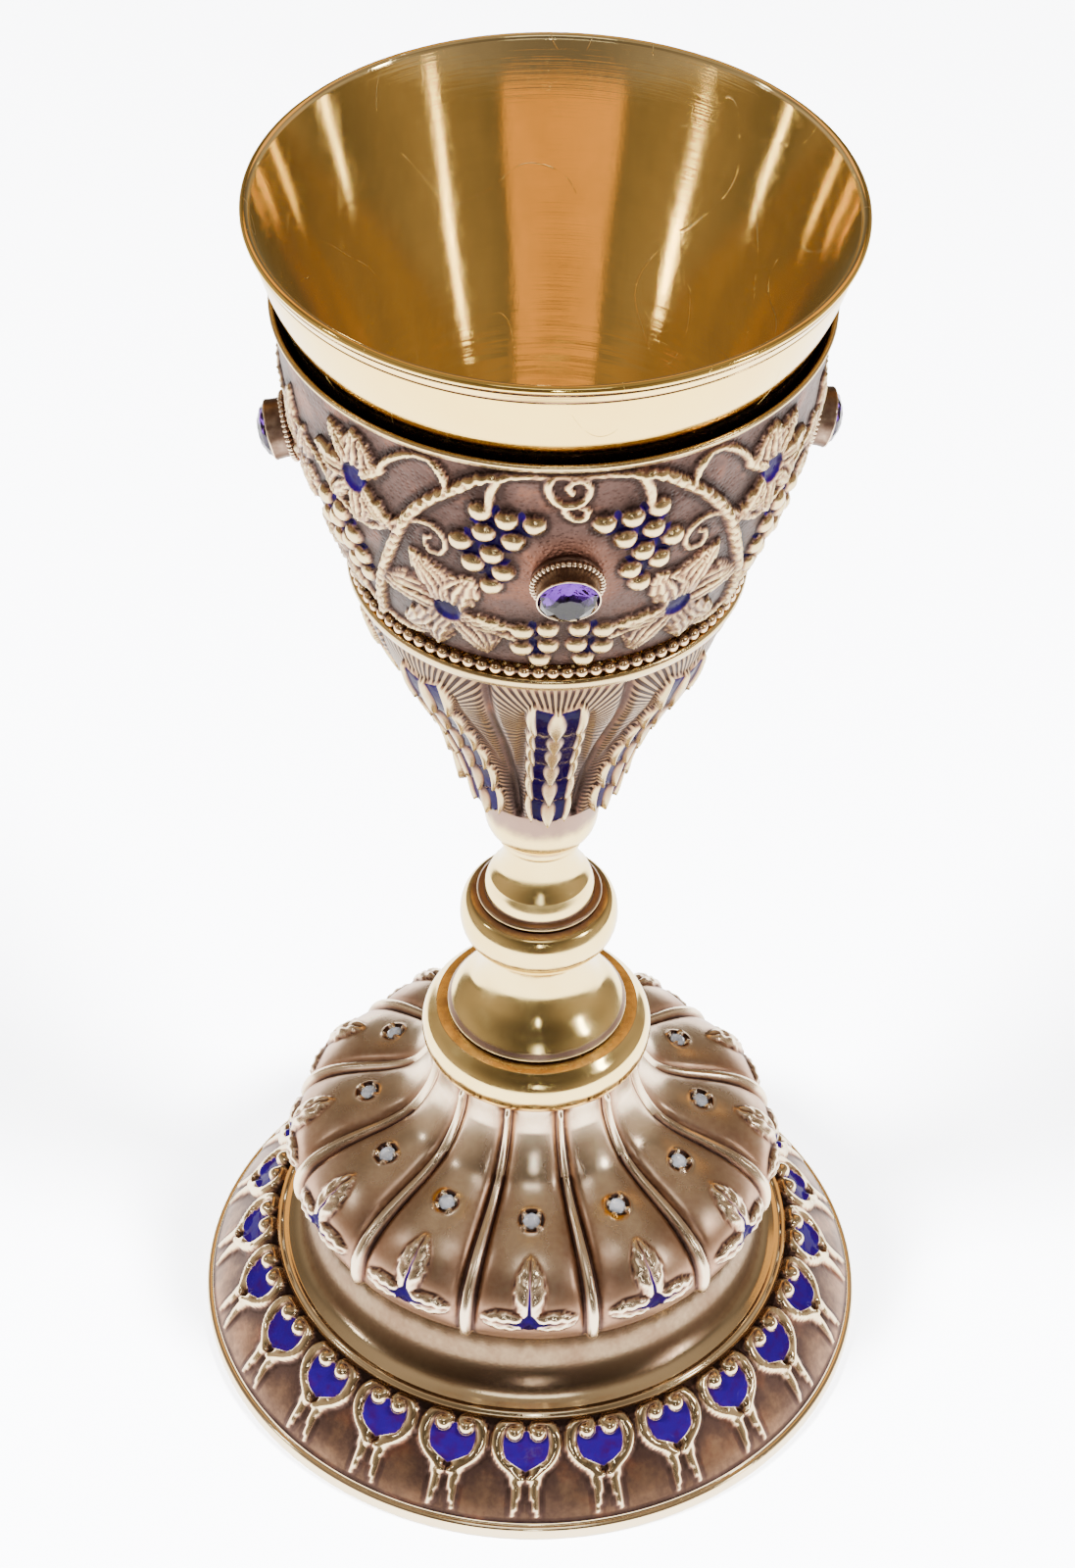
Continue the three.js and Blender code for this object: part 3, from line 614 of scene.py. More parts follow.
class Relief:
    """Ornament on part of a skin, gathered as one rise, with the enamel's depth inside its edge.

    Places are (azimuth, height). Each is laid out round the grid's points as x, the azimuth's difference
    times the row's radius, and y, the difference along the profile."""

    def __init__(self, skin, azimuth, rows=None):
        self.skin = skin
        self.rows = rows
        self.azimuth = azimuth
        self.rise = np.zeros(azimuth.shape)
        self.enamel = np.full(azimuth.shape, -1.0)

    def local(self, place):
        """How far each point lies from a place, round the axis and along the profile."""
        azimuth, height = place
        x = np.radians(self.azimuth - azimuth) * self.skin.r
        return x, self.skin.s - self.skin.reach(height, 0, self.rows) + 0 * x

    def laid(self, places):
        """A line of places as distances round the axis, by row, and along the profile."""
        return [(np.radians(a) * self.skin.r, self.skin.reach(z, 0, self.rows)) for a, z in places]

    def raise_to(self, rise):
        """Raises the points that are lower than this."""
        self.rise = np.maximum(self.rise, rise)

    def inlay(self, depth, level):
        """Enamel where the depth inside its outline is above 0, with a meniscus up to its edge."""
        inside = smoothstep(-0.05, 0.35, depth)
        self.rise = self.rise * (1 - inside) + np.minimum(self.rise, level) * inside
        self.enamel = np.maximum(self.enamel, depth)

    def branch(self, places, width, rise, taper=0.0, bark=0.0):
        """A half-round branch along a smooth line, thinner towards its end. Its bark is two waves, one
        across it that wanders and a quick one along it, each a share of its height."""
        line = self.laid(flow(places, 1.6, 0))
        x = np.radians(self.azimuth) * self.skin.r
        distance, share = nearest(x, self.skin.s + 0 * x, line)
        radius = width / 2 * (1 - taper * share)
        body = half_round(distance, radius, rise * (1 - 0.5 * taper * share))
        ridges = np.cos(distance / radius * 7 + 5 * np.sin(share * 37))
        knots = np.sin(share * 190)
        self.raise_to(body * (1 + bark * ridges + bark * knots))

    def berries(self, places, width, rise, length=1.0, enamel=True):
        """Round berries, with enamel let into the gaps that lie close to two of them."""
        gaps = []
        for place in places:
            x, y = self.local(place)
            gaps.append(np.hypot(x, y / length))
            self.raise_to(half_round(gaps[-1], width / 2, rise))
        first, second = np.sort(np.stack(gaps), axis=0)[:2]
        if enamel:
            self.inlay(np.minimum(0.80 * width - second, first - width / 2 * 0.96), 0.25)

    def leaf(self, middle, tips, rise, eye=(2.3, 2.9)):
        """A vine leaf: a pointed, toothed and veined lobe to each tip, round an oval of enamel.

        A tip is (azimuth, height, the lobe's half width as a share of its length). Along a lobe's axis p
        goes from 0 to 1, and its width follows half a sine wave, cut by four teeth. Across it t goes from
        -1 to 1. It has steep edges, a groove for the midrib, and ribs that fan out from it to the edge."""
        x, y = self.local(middle)
        radius = float(np.interp(middle[1], self.skin.z[:self.rows, 0], self.skin.r[:self.rows, 0]))
        for k, (azimuth, height, width) in enumerate(tips):
            ax = math.radians(azimuth - middle[0]) * radius
            ay = self.skin.reach(height, 0, self.rows) - self.skin.reach(middle[1], 0, self.rows)
            size = math.hypot(ax, ay)
            p = (x * ax + y * ay) / size ** 2
            share = np.clip(p, 0, 1)
            bend = 0.13 * size * np.sin(np.pi * share) * (1 if k % 2 else -1)
            q = (y * ax - x * ay) / size + bend
            edge = np.sin(np.pi * (0.11 + 0.89 * share ** 1.15)) ** 0.7
            teeth = 1 - 0.20 * ((share * 4.2 + 0.3 + 0.25 * np.sign(q)) % 1)
            half = width * size * edge * teeth + 1e-3
            t = q / half
            body = np.clip(1 - t ** 2, 0, 1) ** 0.33
            midrib = 0.50 * np.exp(-(q / 0.26) ** 2) * smoothstep(1.0, 0.6, share)
            ribs = 0.17 * np.cos(2 * np.pi * (0.8 * share + 2.6 * np.abs(t)))
            curl = 0.50 + 0.45 * np.sin(np.pi * share ** 1.3) + 0.26 * t * (1 if k % 2 else -1)
            inside = (p > -0.05) & (p < 1.0)
            self.raise_to(np.where(inside, rise * body * (curl + ribs - midrib), 0))
        if eye:
            self.inlay(1 - np.hypot(x / eye[0], y / eye[1]), 0.35)


def shell_relief(skin, rows):
    """The shell's vine, leaves and grapes. The azimuth is folded on to a quarter of the shell, whose ends
    are the middles of the front and side panels, after a slow drift so that no two quarters are alike."""
    d = ornament()
    sway = 0.45 * drift(skin.azimuth, skin.z, 14, 3)
    quarter = np.abs(folded(skin.azimuth + sway, 180))
    relief = Relief(skin, quarter, rows)
    vine, rise = d.vine_width / MM, d.vine_rise / MM
    relief.branch(LOW_BRANCH, vine * 0.62, rise * 0.7, 0.3, 0.10)
    relief.branch(FOOT_BRANCH, vine * 0.62, rise * 0.7, 0.4, 0.10)
    relief.branch(SIDE_BRANCH, vine * 0.62, rise * 0.75, 0.4, 0.10)
    relief.branch(SPANDREL_BRANCH, vine * 0.68, rise * 0.8, 0.2, 0.10)
    relief.branch(BUNCH_STALK, vine * 0.85, rise * 0.9, 0.2, 0.06)
    relief.branch(SIDE_SPIRAL, vine * 0.5, rise * 0.65, 0.45)
    relief.branch(LEAF_STALK, vine * 0.6, rise * 0.8, 0.3)
    for middle, tips in ((LOW_LEAF, LOW_LEAF_TIPS), (HIGH_LEAF, HIGH_LEAF_TIPS)):
        relief.leaf(middle, tips, d.leaf_rise / MM)
    relief.leaf(SIDE_LEAF, SIDE_LEAF_TIPS, d.leaf_rise / MM * 0.8, None)
    relief.leaf(FOOT_LEAF, FOOT_LEAF_TIPS, d.leaf_rise / MM * 0.8, None)
    relief.branch(VINE_ARCH, vine, rise, 0.0, 0.16)
    relief.berries(BUNCH, d.berry_width / MM, d.berry_rise / MM)
    relief.berries(SMALL_BUNCH, d.berry_width / MM * 1.02, d.berry_rise / MM)
    relief.berries(SIDE_BUNCH, d.berry_width / MM * 0.94, d.berry_rise / MM, 1.15)
    front = folded(skin.azimuth, 180)
    tendril = Relief(skin, front, rows)
    tendril.branch(TOP_TENDRIL, vine * 0.66, rise * 0.8, 0.35)
    tendril.branch(LOW_TENDRIL, vine * 0.55, rise * 0.7, 0.3)
    relief.raise_to(tendril.rise)
    return relief


def stone_distance(skin, shown):
    """Distance on the shell to the middle of the nearest of the four stones."""
    x = np.radians(folded(skin.azimuth, 90)) * skin.r
    y = skin.s - skin.reach(STONE_HEIGHT, 0, shown)
    return np.hypot(x, y)


def make_shell():
    """The shell: its outside, its rolled rim, its inside a wall's thickness in, and the flange at its foot
    that the cup hangs in. Its ornament fades out at both ends and round the stones."""
    outside = outline((0.50, *SHELL_PROFILE))
    shown = len(outside)
    rim = outline(*SHELL_RIM)
    inside = inset(flow(SHELL_PROFILE, 4.0), SHELL_WALL)[::-1]
    profile = np.vstack([outside, rim[1:], inside[:-1], SHELL_SEAT])
    skin = Skin(profile, SHELL_COLUMNS, CUP_TURN)
    relief = shell_relief(skin, shown)
    row = np.arange(len(profile))[:, None]
    edge = smoothstep(0, 3, row) * smoothstep(0, 5, shown - 1 - row) * (row < shown)
    away = stone_distance(skin, shown)
    clear = smoothstep(STONE_REACH - 0.5, STONE_REACH + 0.3, away) * edge
    rise = relief.rise * clear
    hammered = 0.06 * drift(skin.azimuth, skin.z, 5, 8) * edge
    tone = worn(rise, 2, 1.2) * 0.93
    tone = np.where(row < shown, tone, np.where(row < shown + len(rim) - 1, 0.95, 0.05))
    copper = 0.35 * smoothstep(11, 6.5, away)
    # Painted shade: the ground darkens down towards the shell's foot, where less light from the table reaches
    # it
    dim = 0.6 * smoothstep(208, 186, skin.z) * (1 - 0.75 * tone) * edge
    fields = {"tone": tone, "enamel": np.where(clear > 0.5, relief.enamel, -1), "copper": copper * edge,
              "dim": dim}
    mesh = turned_mesh("vine_shell_skin", skin, rise + hammered * (rise < 0.2), fields)
    finish = embossed("embossed_silver_gilt", finishes().shell_ground, SHELL_CREST, 0.75, 0.24, 0.12)
    add_piece("Embossed_vine_shell", mesh, finish, "embossed_silver_gilt", "Vine_shell")


CUP_PROFILE = ((0.3, (41.2, 228.0), (43.6, 234.0), (45.2, 239.0), (45.9, 241.5)),
               (0.15, (45.9, 241.5), (45.75, 241.75), (46.1, 242.0)),
               (0.2, (46.1, 242.0), (46.75, 243.4)),
               (0.15, (46.75, 243.4), (46.55, 243.65), (46.9, 243.85)),
               (0.15, (46.9, 243.85), (47.1, 244.3), (46.9, 244.8), (46.4, 245.0), (45.9, 244.85),
                (45.55, 244.4)))
CUP_HIDDEN = ((0, 173), (9, 173.7), (17.5, 175.6), (22.8, 178.6), (25.9, 182.6), (28.4, 188.4), (30.6, 195),
              (33.1, 203), (36.0, 212), (38.6, 220), (41.2, 228))
CUP_INSIDE = ((45.5, 244.4), (44.5, 241.4), (42.6, 235.7), (40.2, 228.5), (37.5, 220.4), (34.8, 212.2),
              (31.9, 203.4), (29.3, 195.6), (27.0, 188.8), (24.6, 183.4), (21.6, 179.6), (16.8, 176.8),
              (9, 174.9), (0, 174.3))
CUP_COLUMNS = 200
LIP_GROOVES = (241.75, 243.62)


def make_cup():
    """The cup: its hidden outside, its shown band and lip, and its inside, as one profile. A groove's
    tarnish falls off as a bell curve, and the inside ripples more towards its bottom."""
    profile = outline((3.0, *CUP_HIDDEN), *CUP_PROFILE, (1.0, *CUP_INSIDE))
    skin = Skin(profile, CUP_COLUMNS, CUP_TURN)
    row = np.arange(len(profile))[:, None]
    turn = int(np.argmax(profile[:, 1]))
    grooves = sum(np.exp(-((skin.z - z) / 0.22) ** 2) for z in LIP_GROOVES)
    # Painted shade: the band darkens just above the shell's rim, where it goes down into the gap inside the
    # shell
    low = smoothstep(230.5, 228.5, skin.z)
    fields = {"outside": 1.0 * (row <= turn), "tarnish_and_shade": np.clip(grooves + low, 0, 1) * (row <= turn),
              "ripple": smoothstep(212, 192, skin.z) * (row > turn)}
    mesh = turned_mesh("cup_skin", skin, 0 * skin.azimuth + 0 * skin.z, fields)
    add_piece("Gilt_cup", mesh, polished_gilt(), "polished_gilt", "Cup")


BEADS = 88
STEPS_PER_BEAD = 12
BEAD_SIDES = 14
BEAD_RING = (31.1, 179.1)       # radius and height of the string's middle
BEAD_CREST = (0.88, 0.62, 0.34)


def make_bead_ring():
    """A string of beads as one tube. Its radius, at a distance from the nearest bead's middle, is the root
    of the bead's radius squared less that distance squared, and no less than a thin neck."""
    bead = ornament().bead_width / MM / 2
    middle, height = BEAD_RING
    column = np.arange(BEADS * STEPS_PER_BEAD)
    share = (column % STEPS_PER_BEAD - STEPS_PER_BEAD / 2) / STEPS_PER_BEAD
    offset = share * 2 * np.pi * middle / BEADS
    radius = np.sqrt(np.clip(bead ** 2 - offset ** 2, (0.42 * bead) ** 2, None))[None, :]
    angle = np.radians(column * 360 / len(column) + CUP_TURN)[None, :]
    around = (np.arange(BEAD_SIDES) * 2 * np.pi / BEAD_SIDES)[:, None]
    r = middle + radius * np.cos(around)
    z = height + radius * np.sin(around) + 0 * angle
    points = np.stack([r * np.sin(angle), -r * np.cos(angle), z], axis=-1)
    tone = np.broadcast_to(smoothstep(0.45 * bead, bead, radius), r.shape)
    mesh = mesh_from("bead_ring_skin", points.reshape(-1, 3), woven(BEAD_SIDES, len(column), True),
                     fields={"tone": tone})
    finish = copper_gilt("coppery_gilt", BEAD_CREST)
    add_piece("String_of_beads", mesh, finish, "coppery_gilt", "Bead_ring")


CALYX_PROFILE = ((12.0, 130.2), (12.6, 131.5), (14.4, 138), (16.8, 145), (20, 152), (23.8, 158.9),
                 (27.2, 165), (29.4, 171), (30.2, 175.0))
CALYX_BAND = ((0.25, (30.2, 175.0), (30.6, 175.4), (31.6, 175.7)),
              (0.25, (31.6, 175.7), (32.1, 176.8), (32.1, 177.5), (31.8, 177.9)),
              (0.5, (31.8, 177.9), (30.0, 177.9)), (0.7, (30.0, 177.9), (30.0, 180.1)),
              (0.7, (30.0, 180.1), (28.6, 180.1)))
CALYX_INSIDE = ((28.6, 180.1), (28.6, 177), (26.6, 171.8), (23.8, 164.8), (17.4, 153.6), (12.0, 139.8),
                (7.0, 134), (0, 132.4))
CALYX_COLUMNS = 704
EAR_FOOT = 131.2
EAR_TOP = 168.0
CALYX_CREST = (0.68, 0.51, 0.24)
EARS = 8
EAR_ROWS = 6
FAN_MIDDLE = 0.86               # height of the fan's middle, as a share of the ear's length
FLUTE_ANGLE = 5.4
FLUTE_PITCH = 1.2
FLUTE_SLOPE = 0.75


def fan_of_flutes(x, y):
    """A count of flutes, whole on each engraved line. x is the distance from the lobe's middle.

    Above the fan's middle it is the angle from straight up, in flutes. Below it the lines leave the ear
    level and then ever steeper down, so it is a quarter turn's flutes plus the drop at the ear's edge."""
    fan = np.degrees(np.arctan2(x, np.maximum(y, 1e-3))) / FLUTE_ANGLE
    slope = FLUTE_SLOPE * smoothstep(0, 9, -y)
    level = 90 / FLUTE_ANGLE - (y + slope * (x - 4)) / FLUTE_PITCH
    return np.where(y > 0, fan, level)


def wheat_ear(x, y, length, rise):
    """One ear on a lobe, as rows that overlap like scales, the upper over the lower. y runs from its foot.

    In a row, v goes from -0.5 at the foot to 0.5 and rises straight towards the sides, so the row is a V.
    The middle grain and the crescent that follows each bulging side are as wide as a share of 1 - v
    squared, and the enamel lies between them. A row falls off towards its top, where the next covers it."""
    height = np.zeros(x.shape)
    depth = np.full(x.shape, -1.0)
    row = length / EAR_ROWS
    across = np.abs(x)
    for k in range(EAR_ROWS):
        half = 3.5 + 1.0 * k / (EAR_ROWS - 1)
        v = (y - (k + 0.5) * row) / row - 0.30 * across / half
        if k == EAR_ROWS - 1:
            v = np.where(v > 0, 0.75 * v, v)
        fall = 1.0 - 0.42 * v
        lens = 0.34 * half * np.clip(1 - (v / 0.64) ** 2, 0, 1) + 1e-3
        grain = half_round(x, lens, 1) ** 0.7 * (1.0 - 0.30 * across / half)
        flare = half * (0.90 + 0.12 * v - 0.42 * v ** 2)
        rim = 0.19 * half * np.clip(1 - (v / 0.62) ** 2, 0, 1) ** 0.8 + 1e-3
        crescent = half_round(across - flare, rim, 0.92)
        inside = np.minimum(flare - across, (0.56 - np.abs(v)) * row)
        body = rise * fall * np.maximum(np.maximum(grain, crescent), 0.46 * smoothstep(-0.25, 0.1, inside))
        glazed = np.minimum(np.minimum(flare - rim * 0.9 - across, across - lens * 0.96),
                            (0.52 - np.abs(v)) * row)
        on = (np.maximum(inside, rim - np.abs(across - flare)) > -0.05) & (np.abs(v) < 0.60)
        depth = np.where(on, glazed, depth)
        height = np.where(on, np.maximum(body, 0.3 * height), height)
    return height, depth


def make_calyx():
    """The calyx: eight lobes that bulge as 1 less the square of the distance from each one's middle, with
    a groove between neighbours that falls off as a bell curve, an ear on each lobe in a shallow moat, and
    engraved flutes beside and over it."""
    outside = outline((0.54, *CALYX_PROFILE[:-3]), (0.85, *CALYX_PROFILE[-4:]))
    band = outline(*CALYX_BAND)
    inside = flow(CALYX_INSIDE, 4.0)
    profile = np.vstack([[[0, 130.2], [9, 130.2]], outside, band[1:], inside[1:]])
    skin = Skin(profile, CALYX_COLUMNS, CUP_TURN)
    row = np.arange(len(profile))[:, None]
    shown = (row >= 2) & (row < 2 + len(outside))
    half_lobe = 180 / EARS
    u = folded(skin.azimuth, 2 * half_lobe)
    x = np.radians(u) * skin.r
    s = skin.s - skin.s[2, 0]
    length = float(np.interp(EAR_TOP, outside[:, 1], s[2:2 + len(outside), 0]))
    foot = float(np.interp(EAR_FOOT, outside[:, 1], s[2:2 + len(outside), 0]))
    y = s - foot + 0 * x
    d = ornament()
    top = s[1 + len(outside), 0]
    gap = np.radians(half_lobe - np.abs(u)) * skin.r
    groove = d.lobe_groove / MM * np.exp(-(gap / 0.95) ** 2)
    scallop = 0.35 * (1 - (np.abs(u) / half_lobe) ** 2)
    flute = fan_of_flutes(np.abs(x), y - (length - foot) * FAN_MIDDLE)
    ear, enamel = wheat_ear(x, y, length - foot, d.ear_rise / MM)
    on_ear = smoothstep(0.0, 0.25, ear)
    moat = 0.35 * smoothstep(1.3, 0.2, np.abs(np.abs(x) - 4.9)) * (y < length - foot)
    ease = smoothstep(0, 1.2, s) * smoothstep(0, 1.4, top - s) * shown
    relief = ((scallop - groove - moat * (1 - on_ear)) * ease + ear * shown)
    upper = smoothstep(0.6, 1.0, y / (length - foot))
    tone = 0.56 - 0.45 * groove - 0.6 * moat * (1 - on_ear) + 0.12 * upper
    tone = np.where(ear > 0.05, worn(ear, 3, d.ear_rise / MM) + 0.06, tone)
    tone = np.where(shown, tone, np.where(row < 2 + len(outside) + len(band) - 3, 0.92, 0.05))
    fields = {"tone": np.clip(tone, 0, 1), "enamel": np.where(shown, enamel, -1),
              "flute": flute, "fluted": (1 - on_ear) * ease * smoothstep(1.4, 0.6, groove * 2),
              "dim": np.where(shown, 0.32 - 0.22 * on_ear, 0)}
    mesh = turned_mesh("wheat_calyx_skin", skin, relief, fields)
    finish = embossed("fluted_silver_gilt", finishes().shell_ground, CALYX_CREST, 0.6, 0.22, 0.03)
    add_piece("Wheat_ear_calyx", mesh, finish, "embossed_silver_gilt", "Wheat_calyx")


# Stones

STONE_TILT = 13.5
BEZEL_FOOT = -2.2
BEZEL_PROFILE = ((0.6, (0, BEZEL_FOOT), (5.3, BEZEL_FOOT)),
                 (0.3, (5.3, BEZEL_FOOT), (5.35, 0.8), (5.0, 1.1)),
                 (0.4, (5.0, 1.1), (4.75, 1.7), (4.7, 3.0), (4.8, 4.3)),
                 (0.12, (4.8, 4.3), (4.86, 4.6), (4.76, 4.75), (4.62, 4.7)),
                 (0.5, (4.62, 4.7), (4.5, 4.2), (4.3, 3.4), (1.2, 2.0), (0, 2.0)))
BEZEL_COLUMNS = 64
BEZEL_CREST = (0.86, 0.66, 0.46)
CORD_RADIUS, CORD_WIDTH, CORD_HEIGHT = 5.15, 1.25, 1.6
CORD_BEADS = 42
CORD_COLUMNS, CORD_SIDES = 336, 10
AMETHYST_RADIUS, AMETHYST_HEIGHT, AMETHYST_SIDES = 4.55, 4.75, 10


def tilted(points, azimuth, middle, tilt):
    """Points made round +Z, with their axis laid outwards from a place (radius, height) at an azimuth.
    The axis leans down from the horizontal by the tilt."""
    lean = math.radians(90 + tilt)
    turn = math.radians(azimuth)
    x, y, z = points[..., 0], points[..., 1], points[..., 2]
    y, z = y * math.cos(lean) - z * math.sin(lean) - middle[0], y * math.sin(lean) + z * math.cos(lean)
    return np.stack([x * math.cos(turn) - y * math.sin(turn), x * math.sin(turn) + y * math.cos(turn),
                     z + middle[1]], axis=-1)


def beaded_ring():
    """A beaded wire closed to a ring, whose section's radius swells and shrinks from bead to bead as a
    power of a cosine. The tone is how far a point lies from the wire's middle."""
    turn = (np.arange(CORD_COLUMNS) * 2 * np.pi / CORD_COLUMNS)[None, :]
    around = (np.arange(CORD_SIDES) * 2 * np.pi / CORD_SIDES)[:, None]
    section = CORD_WIDTH / 2 * (0.45 + 0.55 * np.abs(np.cos(CORD_BEADS * turn / 2)) ** 0.6) + 0 * around
    r = CORD_RADIUS + section * np.cos(around)
    z = section * np.sin(around) + 0 * turn
    ring = np.stack([r * np.sin(turn), -r * np.cos(turn), z], axis=-1) + [0, 0, CORD_HEIGHT]
    out = np.hypot(ring[..., 0], ring[..., 1]) - CORD_RADIUS
    return ring, smoothstep(0.35, 0.6, np.hypot(out, ring[..., 2] - CORD_HEIGHT))


def facet_stone(radius, rings, sides):
    """A cut stone as rings of corners, (share of the radius, height, half steps of turn), each joined to
    the next by facets, and closed by a flat table and a point."""
    points, faces = [], []
    for share, height, shift in rings:
        turn = (np.arange(sides) + shift / 2) * 2 * np.pi / sides
        points.append(np.stack([radius * share * np.sin(turn), -radius * share * np.cos(turn),
                                np.full(sides, height)], axis=1))
    column = np.arange(sides)
    beside = (column + 1) % sides
    for k in range(len(rings) - 1):
        low, high = k * sides, (k + 1) * sides
        if rings[k][2] == rings[k + 1][2]:
            first = np.stack([low + column, low + beside, high + beside], axis=1)
            second = np.stack([low + column, high + beside, high + column], axis=1)
        elif rings[k][2] < rings[k + 1][2]:
            first = np.stack([low + column, low + beside, high + column], axis=1)
            second = np.stack([low + beside, high + beside, high + column], axis=1)
        else:
            first = np.stack([low + column, high + beside, high + column], axis=1)
            second = np.stack([low + column, low + beside, high + beside], axis=1)
        faces += [first, second]
    count = len(rings) * sides
    points.append(np.array([[0, 0, rings[0][1]], [0, 0, rings[-1][1]]]))
    faces.append(np.stack([np.full(sides, count), beside, column], axis=1))
    last = (len(rings) - 1) * sides
    faces.append(np.stack([last + column, last + beside, np.full(sides, count + 1)], axis=1))
    return np.vstack(points), np.vstack(faces)


AMETHYST_CUT = ((0.14, -2.25, 0), (0.6, -1.4, 1), (1.0, -0.35, 0), (1.0, -0.1, 0), (0.84, 0.8, 1),
                (0.52, 1.6, 0))
BRILLIANT_CUT = ((0.15, -0.95, 0), (1.0, -0.1, 0), (1.0, 0.05, 0), (0.8, 0.42, 1), (0.55, 0.62, 0))


def bezel_mesh(name, azimuth, middle):
    """A bezel, turned round its own axis and then laid in its place, bright at its lip."""
    skin = Skin(outline(*BEZEL_PROFILE), BEZEL_COLUMNS)
    tone = 0.22 + 0.78 * smoothstep(4.45, 4.65, skin.z) - 0.2 * smoothstep(1.6, 0.9, skin.z)
    mesh = turned_mesh(name, skin, skin.zeros(), {"tone": np.clip(tone, 0, 1)})
    corners = np.empty(len(mesh.vertices) * 3, np.float32)
    mesh.vertices.foreach_get("co", corners)
    placed = tilted(corners.reshape(-1, 3).astype(float) / MM, azimuth, middle, STONE_TILT) * MM
    mesh.vertices.foreach_set("co", placed.astype(np.float32).ravel())
    mesh.update()
    return mesh


def make_stones():
    """Four amethysts a quarter turn apart, each in a bezel with a beaded ring round its foot."""
    copper = copper_gilt("bezel_copper", BEZEL_CREST)
    violet = cut_stone("amethyst", finishes().amethyst, 1.36, 0.45, 1.0)
    shell = flow(SHELL_PROFILE, 0.4)
    middle = (float(np.interp(STONE_HEIGHT, shell[:, 1], shell[:, 0])) - 0.5, STONE_HEIGHT)
    ring, ring_tone = beaded_ring()
    corners, faces = facet_stone(AMETHYST_RADIUS, AMETHYST_CUT, AMETHYST_SIDES)
    for k in range(4):
        azimuth = CUP_TURN + 90 * k
        setting = f"Stone_setting_{k + 1}"
        bezel = bezel_mesh(f"bezel_{k + 1}_skin", azimuth, middle)
        add_piece(f"Bezel_{k + 1}", bezel, copper, "coppery_gilt", setting)
        placed = tilted(ring, azimuth, middle, STONE_TILT)
        cord = mesh_from(f"bezel_cord_{k + 1}_skin", placed.reshape(-1, 3),
                         woven(CORD_SIDES, CORD_COLUMNS, True), fields={"tone": ring_tone})
        add_piece(f"Bezel_cord_{k + 1}", cord, copper, "coppery_gilt", setting)
        points = tilted(corners + [0, 0, AMETHYST_HEIGHT], azimuth, middle, STONE_TILT)
        gem = mesh_from(f"amethyst_{k + 1}_cut", points, np.empty((0, 4), int), faces, smooth=False)
        add_piece(f"Cut_amethyst_{k + 1}", gem, violet, "amethyst", f"Amethyst_{k + 1}")


# The stem

# Each piece's name, its node, the heights of its creases and its profile
STEM_PIECES = (
    ("Bulb_of_stem", "Stem_bulb", (129.3, 117.6, 115.5),
     ((1.5, (0, 115.4), (6.3, 115.4)), (0.25, (6.3, 115.4), (6.8, 115.7), (7.3, 116.3), (7.3, 117.3)),
      (0.2, (7.3, 117.3), (7.3, 117.5), (7.7, 117.8)),
      (0.4, (7.7, 117.8), (9.1, 119.6), (9.75, 122.5), (9.7, 126), (9.2, 128.8), (8.6, 129.9)),
      (1.5, (8.6, 129.9), (0, 129.9)))),
    ("Neck_of_stem", "Stem_neck", (102.4, 103.8, 115.4),
     ((1.5, (0, 102.6), (10.0, 102.6)), (0.2, (10.0, 102.6), (10.6, 102.7), (10.84, 103.2), (10.5, 103.6)),
      (0.3, (10.5, 103.6), (9.6, 103.7)), (0.3, (9.6, 103.7), (9.4, 105.2), (8.7, 107.2)),
      (0.4, (8.7, 107.2), (7.2, 109.6), (6.45, 112.2), (6.3, 115.1)), (1.5, (6.3, 115.1), (0, 115.1)))),
    ("Knop", "Stem_knop", (93.0, 102.5),
     ((1.5, (0, 93.1), (10.4, 93.1)), (0.2, (10.4, 93.1), (10.7, 93.15), (12.0, 93.7)),
      (0.35, (12.0, 93.7), (13.3, 95.6), (13.7, 98), (13.3, 100.4), (12.2, 102.0), (10.8, 102.4)),
      (1.5, (10.8, 102.4), (0, 102.4)))),
    ("Bell_of_stem", "Stem_bell", (75.4, 76.9, 93.0),
     ((1.5, (0, 75.6), (15.4, 75.6)), (0.15, (15.4, 75.6), (15.85, 76.2), (15.5, 76.8)),
      (0.4, (15.5, 76.8), (14.2, 78.4), (11.2, 81.6), (9.3, 85.4), (8.7, 89), (9.0, 91.4), (9.6, 92.9)),
      (1.5, (9.6, 92.9), (0, 92.9)))),
    ("Collar_of_foot", "Foot_collar", (75.6, 65.8),
     ((1.5, (0, 66.1), (17.8, 66.1)),
      (0.35, (17.8, 66.1), (19.7, 67.6), (20.35, 70.2), (19.8, 73), (17.8, 75.2)),
      (1.5, (17.8, 75.2), (16.0, 75.3), (0, 75.3)))),
)


STEM_COLUMNS = 96


def make_stem():
    """The stem's turned pieces. Tarnish fades away from each crease, and lies in the bulb's top recess."""
    finish = pale_gilt()
    for name, node, creases, stretches in STEM_PIECES:
        skin = Skin(outline(*stretches), STEM_COLUMNS)
        tarnish_and_shade = sum(np.exp(-np.abs(skin.z - z) / 0.55) for z in creases)
        if node == "Stem_bulb":
            # Painted shade: the bulb darkens towards its top, under the calyx's overhang
            tarnish_and_shade = tarnish_and_shade + 0.8 * smoothstep(119.5, 126.0, skin.z)
        mesh = turned_mesh(f"{node}_skin".lower(), skin, skin.zeros(), {"tarnish_and_shade": np.clip(tarnish_and_shade, 0, 1)})
        add_piece(name, mesh, finish, "pale_gilt", node)


# The foot

